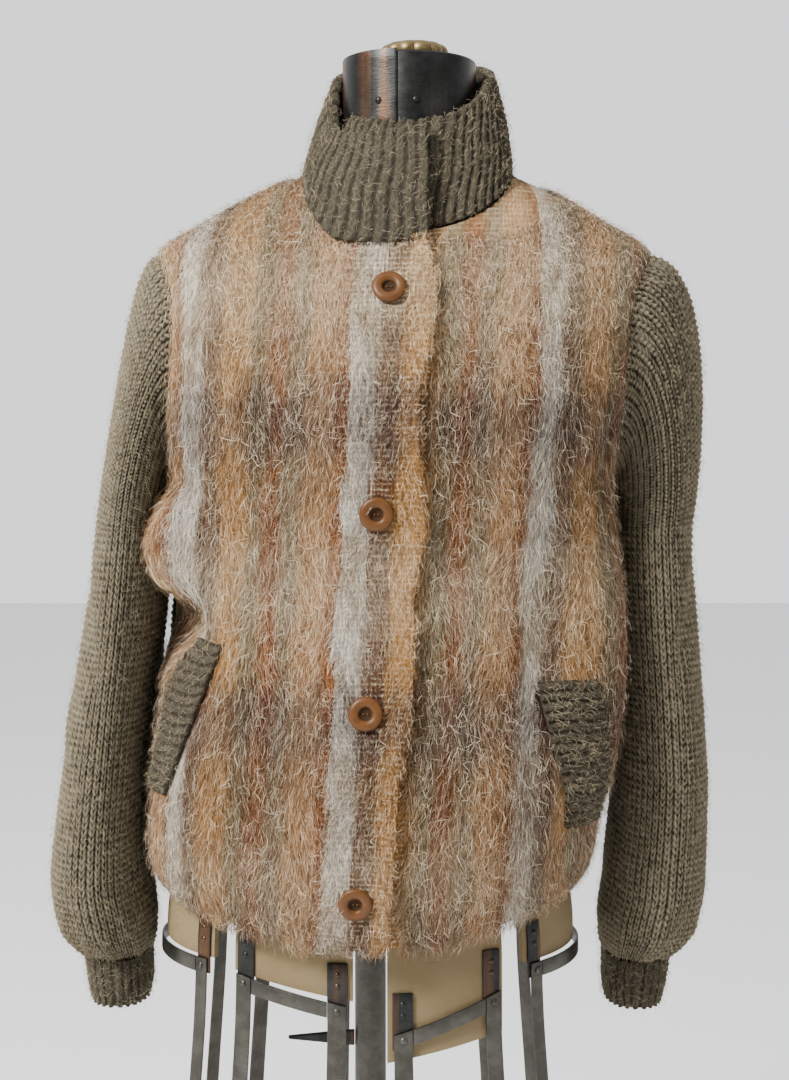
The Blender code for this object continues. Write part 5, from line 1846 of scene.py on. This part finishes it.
class JACKET_OT_form_metal(bpy.types.Operator):
    """Build the neck band, knob, tabs, cage, lever, pole and base"""

    bl_idname = "jacket.form_metal"
    bl_label = "Form Metal"

    def execute(self, context):
        finish = context.scene.form_finish
        # Brown of the upright streaks on the gunmetal: painted reflection of the jacket
        brown_marks = tone(104, 72, 46)
        self.gunmetal = metal_finish("gunmetal_rubbed", finish.gunmetal, 0.36, 0.35, brown_marks=brown_marks)
        self.steel = metal_finish("steel_worn", finish.steel, 0.42, 0.5)
        self.neck()
        self.knob(metal_finish("brass_aged", finish.brass, 0.42, 0.4))
        for panel in HIP_PANELS:
            self.cage(panel)
            self.tab(panel, "start", 1)
            self.tab(panel, "end", -1)
        self.stand(metal_finish("iron_painted", finish.iron, 0.55, 0.3, metallic=0.3))
        return {"FINISHED"}

    def neck(self):
        """The metal band that caps the neck, with its overlapped seam and rivets."""
        foot = leaned(np.array([0.0, 0.0, NECK_BAND_BOTTOM]))
        radius, top = NECK_BAND_HALF_WIDTH, NECK_BAND_HEIGHT
        profile = [
            (0.0, top - 0.004),
            (radius - 0.004, top - 0.004),
            (radius - 0.003, top - 0.0006),
            (radius - 0.0015, top),
            (radius - 0.0004, top - 0.0008),
            (radius, top - 0.002),
            (radius, 0.0),
            (0.0, 0.0),
        ]
        shape = turned(profile, 96)
        turns = np.linspace(-1.75, -0.20, 40)
        heights = np.linspace(0.0006, top + 0.0016, 8)
        ring = (radius * np.sin(turns)[None, :], -radius * np.cos(turns)[None, :], heights[:, None])
        add_plate(shape, np.stack(np.broadcast_arrays(*ring), axis=-1), 0.0014)
        for turn, out_by in ((-0.48, 0.0016), (0.08, 0.0004)):
            out = np.array([math.sin(turn), -math.cos(turn), 0])
            add_rivet(shape, out * (radius + out_by) + np.array([0, 0, 0.022]), out, 0.0030)
        scale = Matrix.Diagonal((1, NECK_BAND_DEPTH_SHARE, 1, 1))
        place = Matrix.Translation(Vector(foot)) @ scale
        bmesh.ops.transform(shape, matrix=place, verts=shape.verts)
        node = "form_neck_band"
        finished(shape, f"{node}_metal", self.gunmetal, [node], sharp=40)

    def knob(self, brass):
        """A flat knob whose edge is cut into petals."""
        seat = leaned(np.array([0.0, 0.0, NECK_BAND_BOTTOM + NECK_BAND_HEIGHT + SEAM_GAP]))
        profile = [(0.0, KNOB_THICKNESS)]
        for turn in np.linspace(0.45 * math.pi, -0.5 * math.pi, 12):
            side = KNOB_RADIUS * (0.72 + 0.28 * math.cos(turn))
            profile.append((side, KNOB_THICKNESS * (0.5 + 0.5 * math.sin(turn))))
        profile.append((0.0, 0.0))
        shape = turned(profile, 8 * KNOB_PETALS)
        for vert in shape.verts:
            far = math.hypot(vert.co.x, vert.co.y)
            cut = 0.085 * ease(far, KNOB_RADIUS * 0.35, KNOB_RADIUS)
            petal = abs(math.sin(KNOB_PETALS * math.atan2(vert.co.y, vert.co.x) / 2))
            share = 1 - cut * (1 - petal**0.7)
            vert.co.x *= share
            vert.co.y *= share
        bmesh.ops.translate(shape, vec=Vector(seat), verts=shape.verts)
        finished(shape, "form_knob_petals", brass, ["form_knob"], sharp=60)

    def tab(self, panel, end, way):
        """A riveted tab at one end of a hip panel, on which the cage hangs."""
        first = panel[end] + way * turn_width(0.004)
        start, stop = sorted((first, first + way * turn_width(TAB_WIDTH)))
        low = panel[f"strap_{end}"]
        turns = np.radians(np.linspace(start, stop, 5))
        grid = form_points(HIPS, np.linspace(low, low + TAB_HEIGHT, 6)[:, None], turns[None, :])
        normals = normals_of(grid)
        grid = grid + normals * SEAM_GAP
        shape = bmesh.new()
        add_plate(shape, grid, TAB_THICKNESS)
        for level in (3, 4):
            point, normal = grid[level, 2], normals[level, 2]
            add_rivet(shape, point + normal * TAB_THICKNESS, normal, 0.0026)
        name = f"form_tab_{panel['name']}_{end}"
        finished(shape, f"{name}_metal", self.gunmetal, [name], sharp=40)

    def cage(self, panel):
        """Two hanging strips, with straps across them and a rivet at each crossing."""
        strip = turn_width(STRIP_WIDTH)
        inset = turn_width(0.005)
        start, end = panel["start"] + inset, panel["end"] - inset

        def top_at(turns):
            levels = [panel["strap_start"], panel["strap_end"]]
            return np.interp(turns, [start, end], levels) + STRAP_WIDTH

        shape = bmesh.new()
        for low, high in ((start, start + strip), (end - strip, end)):
            turns = np.linspace(low, high, 4)
            top = top_at(turns)
            levels = np.linspace(CAGE_BOTTOM, top, 16)
            add_plate(shape, cage_points(turns[None, :], levels, top), STRIP_THICKNESS)
        turns = np.linspace(start + strip + 0.15, end - strip - 0.15, 18)
        top = top_at(turns)
        for low in (np.full(18, CAGE_BOTTOM), top - STRAP_WIDTH):
            levels = np.linspace(low, low + STRAP_WIDTH, 3)
            add_plate(shape, cage_points(turns[None, :], levels, top), STRIP_THICKNESS)
        for turn in (start + strip / 2, end - strip / 2):
            top = top_at(turn)
            for low in (CAGE_BOTTOM, top - STRAP_WIDTH):
                point = cage_points(turn, low + STRAP_WIDTH / 2, top)
                normal = unit(point * np.array([1, 1, 0]))
                add_rivet(shape, point + normal * STRIP_THICKNESS, normal)
        name = f"form_cage_{panel['name']}"
        finished(shape, f"{name}_metal", self.steel, [name], sharp=40)

    def stand(self, iron):
        """The cast base, the pole that stands in it and the lever on the pole."""
        base = [
            (0.0, BASE_HUB_HEIGHT),
            (BASE_HUB_RADIUS * 0.7, BASE_HUB_HEIGHT),
            (BASE_HUB_RADIUS * 0.78, BASE_HUB_HEIGHT - 0.003),
            (BASE_HUB_RADIUS * 0.94, BASE_THICKNESS + 0.018),
            (BASE_HUB_RADIUS * 1.2, BASE_THICKNESS + 0.0105),
            (BASE_RADIUS * 0.93, BASE_THICKNESS),
            (BASE_RADIUS * 0.975, BASE_THICKNESS * 0.86),
            (BASE_RADIUS, BASE_THICKNESS * 0.55),
            (BASE_RADIUS, 0.002),
            (BASE_RADIUS - 0.002, 0.0),
            (0.0, 0.0),
        ]
        finished(turned(base, 96), "form_base_casting", iron, ["form_base"], sharp=40)
        low, high = BASE_HUB_HEIGHT + SEAM_GAP, BODICE_BOTTOM - SEAM_GAP
        pole = [
            (0.0, high),
            (POLE_RADIUS - 0.001, high),
            (POLE_RADIUS, high - 0.001),
            (POLE_RADIUS, low + 0.001),
            (POLE_RADIUS - 0.001, low),
            (0.0, low),
        ]
        finished(turned(pole, 48), "form_pole_tube", self.steel, ["form_pole"], sharp=40)
        reach = np.linspace(-LEVER_REACH, -POLE_RADIUS - SEAM_GAP, 12)
        share = (reach + LEVER_REACH) / (LEVER_REACH - POLE_RADIUS)
        half = (LEVER_TIP_WIDTH + (LEVER_ROOT_WIDTH - LEVER_TIP_WIDTH) * share) / 2
        heights = LEVER_HEIGHT + np.linspace(-1, 1, 5)[:, None] * half[None, :]
        face = (reach[None, :], np.full((5, 12), LEVER_THICKNESS / 2), heights)
        shape = bmesh.new()
        add_plate(shape, np.stack(np.broadcast_arrays(*face), axis=-1), LEVER_THICKNESS)
        finished(shape, "form_lever_metal", self.gunmetal, ["form_lever"], sharp=40)


class JACKET_OT_stage(bpy.types.Operator):
    """Lay the floor, set the lights and stand the camera"""

    bl_idname = "jacket.stage"
    bl_label = "Stage"

    def execute(self, context):
        settings = context.scene.jacket_stage
        finish = Finish("floor_pale")
        speck = finish.noise(finish.place(), 3.0, 4.0)
        shade = settings.floor
        base = finish.mix(speck * 0.3, shade, tuple(0.9 * c for c in shade))
        material = finish.surface(base_color=base, roughness=0.8)
        shape = bmesh.new()
        bmesh.ops.create_grid(shape, x_segments=4, y_segments=4, size=FLOOR_HALF)
        mesh = bpy.data.meshes.new("floor")
        shape.to_mesh(mesh)
        shape.free()
        mesh.materials.append(material)
        floor = bpy.data.objects.new("floor", mesh)
        context.scene.collection.objects.link(floor)
        self.light("key", KEY_PLACE, settings.key_watts, KEY_SIZE)
        self.light("fill", FILL_PLACE, settings.key_watts * FILL_SHARE, FILL_SIZE)
        self.room(context, settings)
        camera = bpy.data.cameras.new("camera")
        camera.sensor_fit = "VERTICAL"
        camera.sensor_width = CAMERA_SENSOR
        camera.sensor_height = CAMERA_SENSOR
        camera.lens = CAMERA_LENS
        stand = bpy.data.objects.new("camera", camera)
        stand.location = CAMERA_PLACE
        stand.rotation_euler = (CAMERA_TILT, 0, 0)
        context.scene.collection.objects.link(stand)
        context.scene.camera = stand
        return {"FINISHED"}

    def room(self, context, settings):
        """Light from all round, brighter behind and above than in front."""
        world = bpy.data.worlds.new("pale_room")
        world.use_nodes = True
        nodes, links = world.node_tree.nodes, world.node_tree.links
        way = nodes.new("ShaderNodeTexCoord")
        parts = nodes.new("ShaderNodeSeparateXYZ")
        links.new(way.outputs["Generated"], parts.inputs[0])
        steps = (
            (parts.outputs["Y"], -0.2, 0.5, settings.wall_strength),
            (parts.outputs["Z"], 0.45, 0.9, settings.top_strength),
        )
        below = settings.front_strength
        for source, low, high, above in steps:
            step = nodes.new("ShaderNodeMapRange")
            step.inputs["From Min"].default_value = low
            step.inputs["From Max"].default_value = high
            step.inputs["To Max"].default_value = above
            links.new(source, step.inputs["Value"])
            if isinstance(below, float):
                step.inputs["To Min"].default_value = below
            else:
                links.new(below, step.inputs["To Min"])
            below = step.outputs["Result"]
        sky = nodes["Background"]
        sky.inputs["Color"].default_value = (*settings.sky, 1)
        links.new(below, sky.inputs["Strength"])
        context.scene.world = world

    def light(self, name, place, watts, size):
        """A square lamp that points at the jacket."""
        lamp = bpy.data.lights.new(name, "AREA")
        lamp.energy = watts
        lamp.size = size
        made = bpy.data.objects.new(name, lamp)
        made.location = place
        aim = Vector(LAMP_TARGET) - Vector(place)
        made.rotation_euler = aim.to_track_quat("-Z", "Y").to_euler()
        bpy.context.scene.collection.objects.link(made)


OPERATORS = (
    JACKET_OT_fronts,
    JACKET_OT_back,
    JACKET_OT_sleeves,
    JACKET_OT_cuffs,
    JACKET_OT_collar,
    JACKET_OT_welts,
    JACKET_OT_buttons,
    JACKET_OT_form_body,
    JACKET_OT_form_metal,
    JACKET_OT_stage,
)
GROUPS = {
    "jacket_cloth": JacketCloth,
    "jacket_colours": JacketColours,
    "form_finish": FormFinish,
    "jacket_stage": StageSettings,
}


class JACKET_PT_panel(bpy.types.Panel):
    """Sizes, colours and steps of the jacket"""

    bl_idname = "JACKET_PT_panel"
    bl_label = "Wool Jacket"
    bl_space_type = "VIEW_3D"
    bl_region_type = "UI"
    bl_category = "Jacket"

    def draw(self, context):
        for operator in OPERATORS:
            self.layout.operator(operator.bl_idname)
        for name, group in GROUPS.items():
            box = self.layout.box()
            for setting in group.__annotations__:
                box.prop(getattr(context.scene, name), setting)


def register():
    for made in (*GROUPS.values(), *OPERATORS, JACKET_PT_panel):
        bpy.utils.register_class(made)
    for name, group in GROUPS.items():
        setattr(bpy.types.Scene, name, PointerProperty(type=group))


def unregister():
    for name in GROUPS:
        delattr(bpy.types.Scene, name)
    for made in (JACKET_PT_panel, *reversed(OPERATORS), *reversed(list(GROUPS.values()))):
        bpy.utils.unregister_class(made)


def main():
    register()
    bpy.ops.jacket.fronts()
    bpy.ops.jacket.back()
    bpy.ops.jacket.sleeves()
    bpy.ops.jacket.cuffs()
    bpy.ops.jacket.collar()
    bpy.ops.jacket.welts()
    bpy.ops.jacket.buttons()
    bpy.ops.jacket.form_body()
    bpy.ops.jacket.form_metal()
    bpy.ops.jacket.stage()


if __name__ == "__main__":
    main()
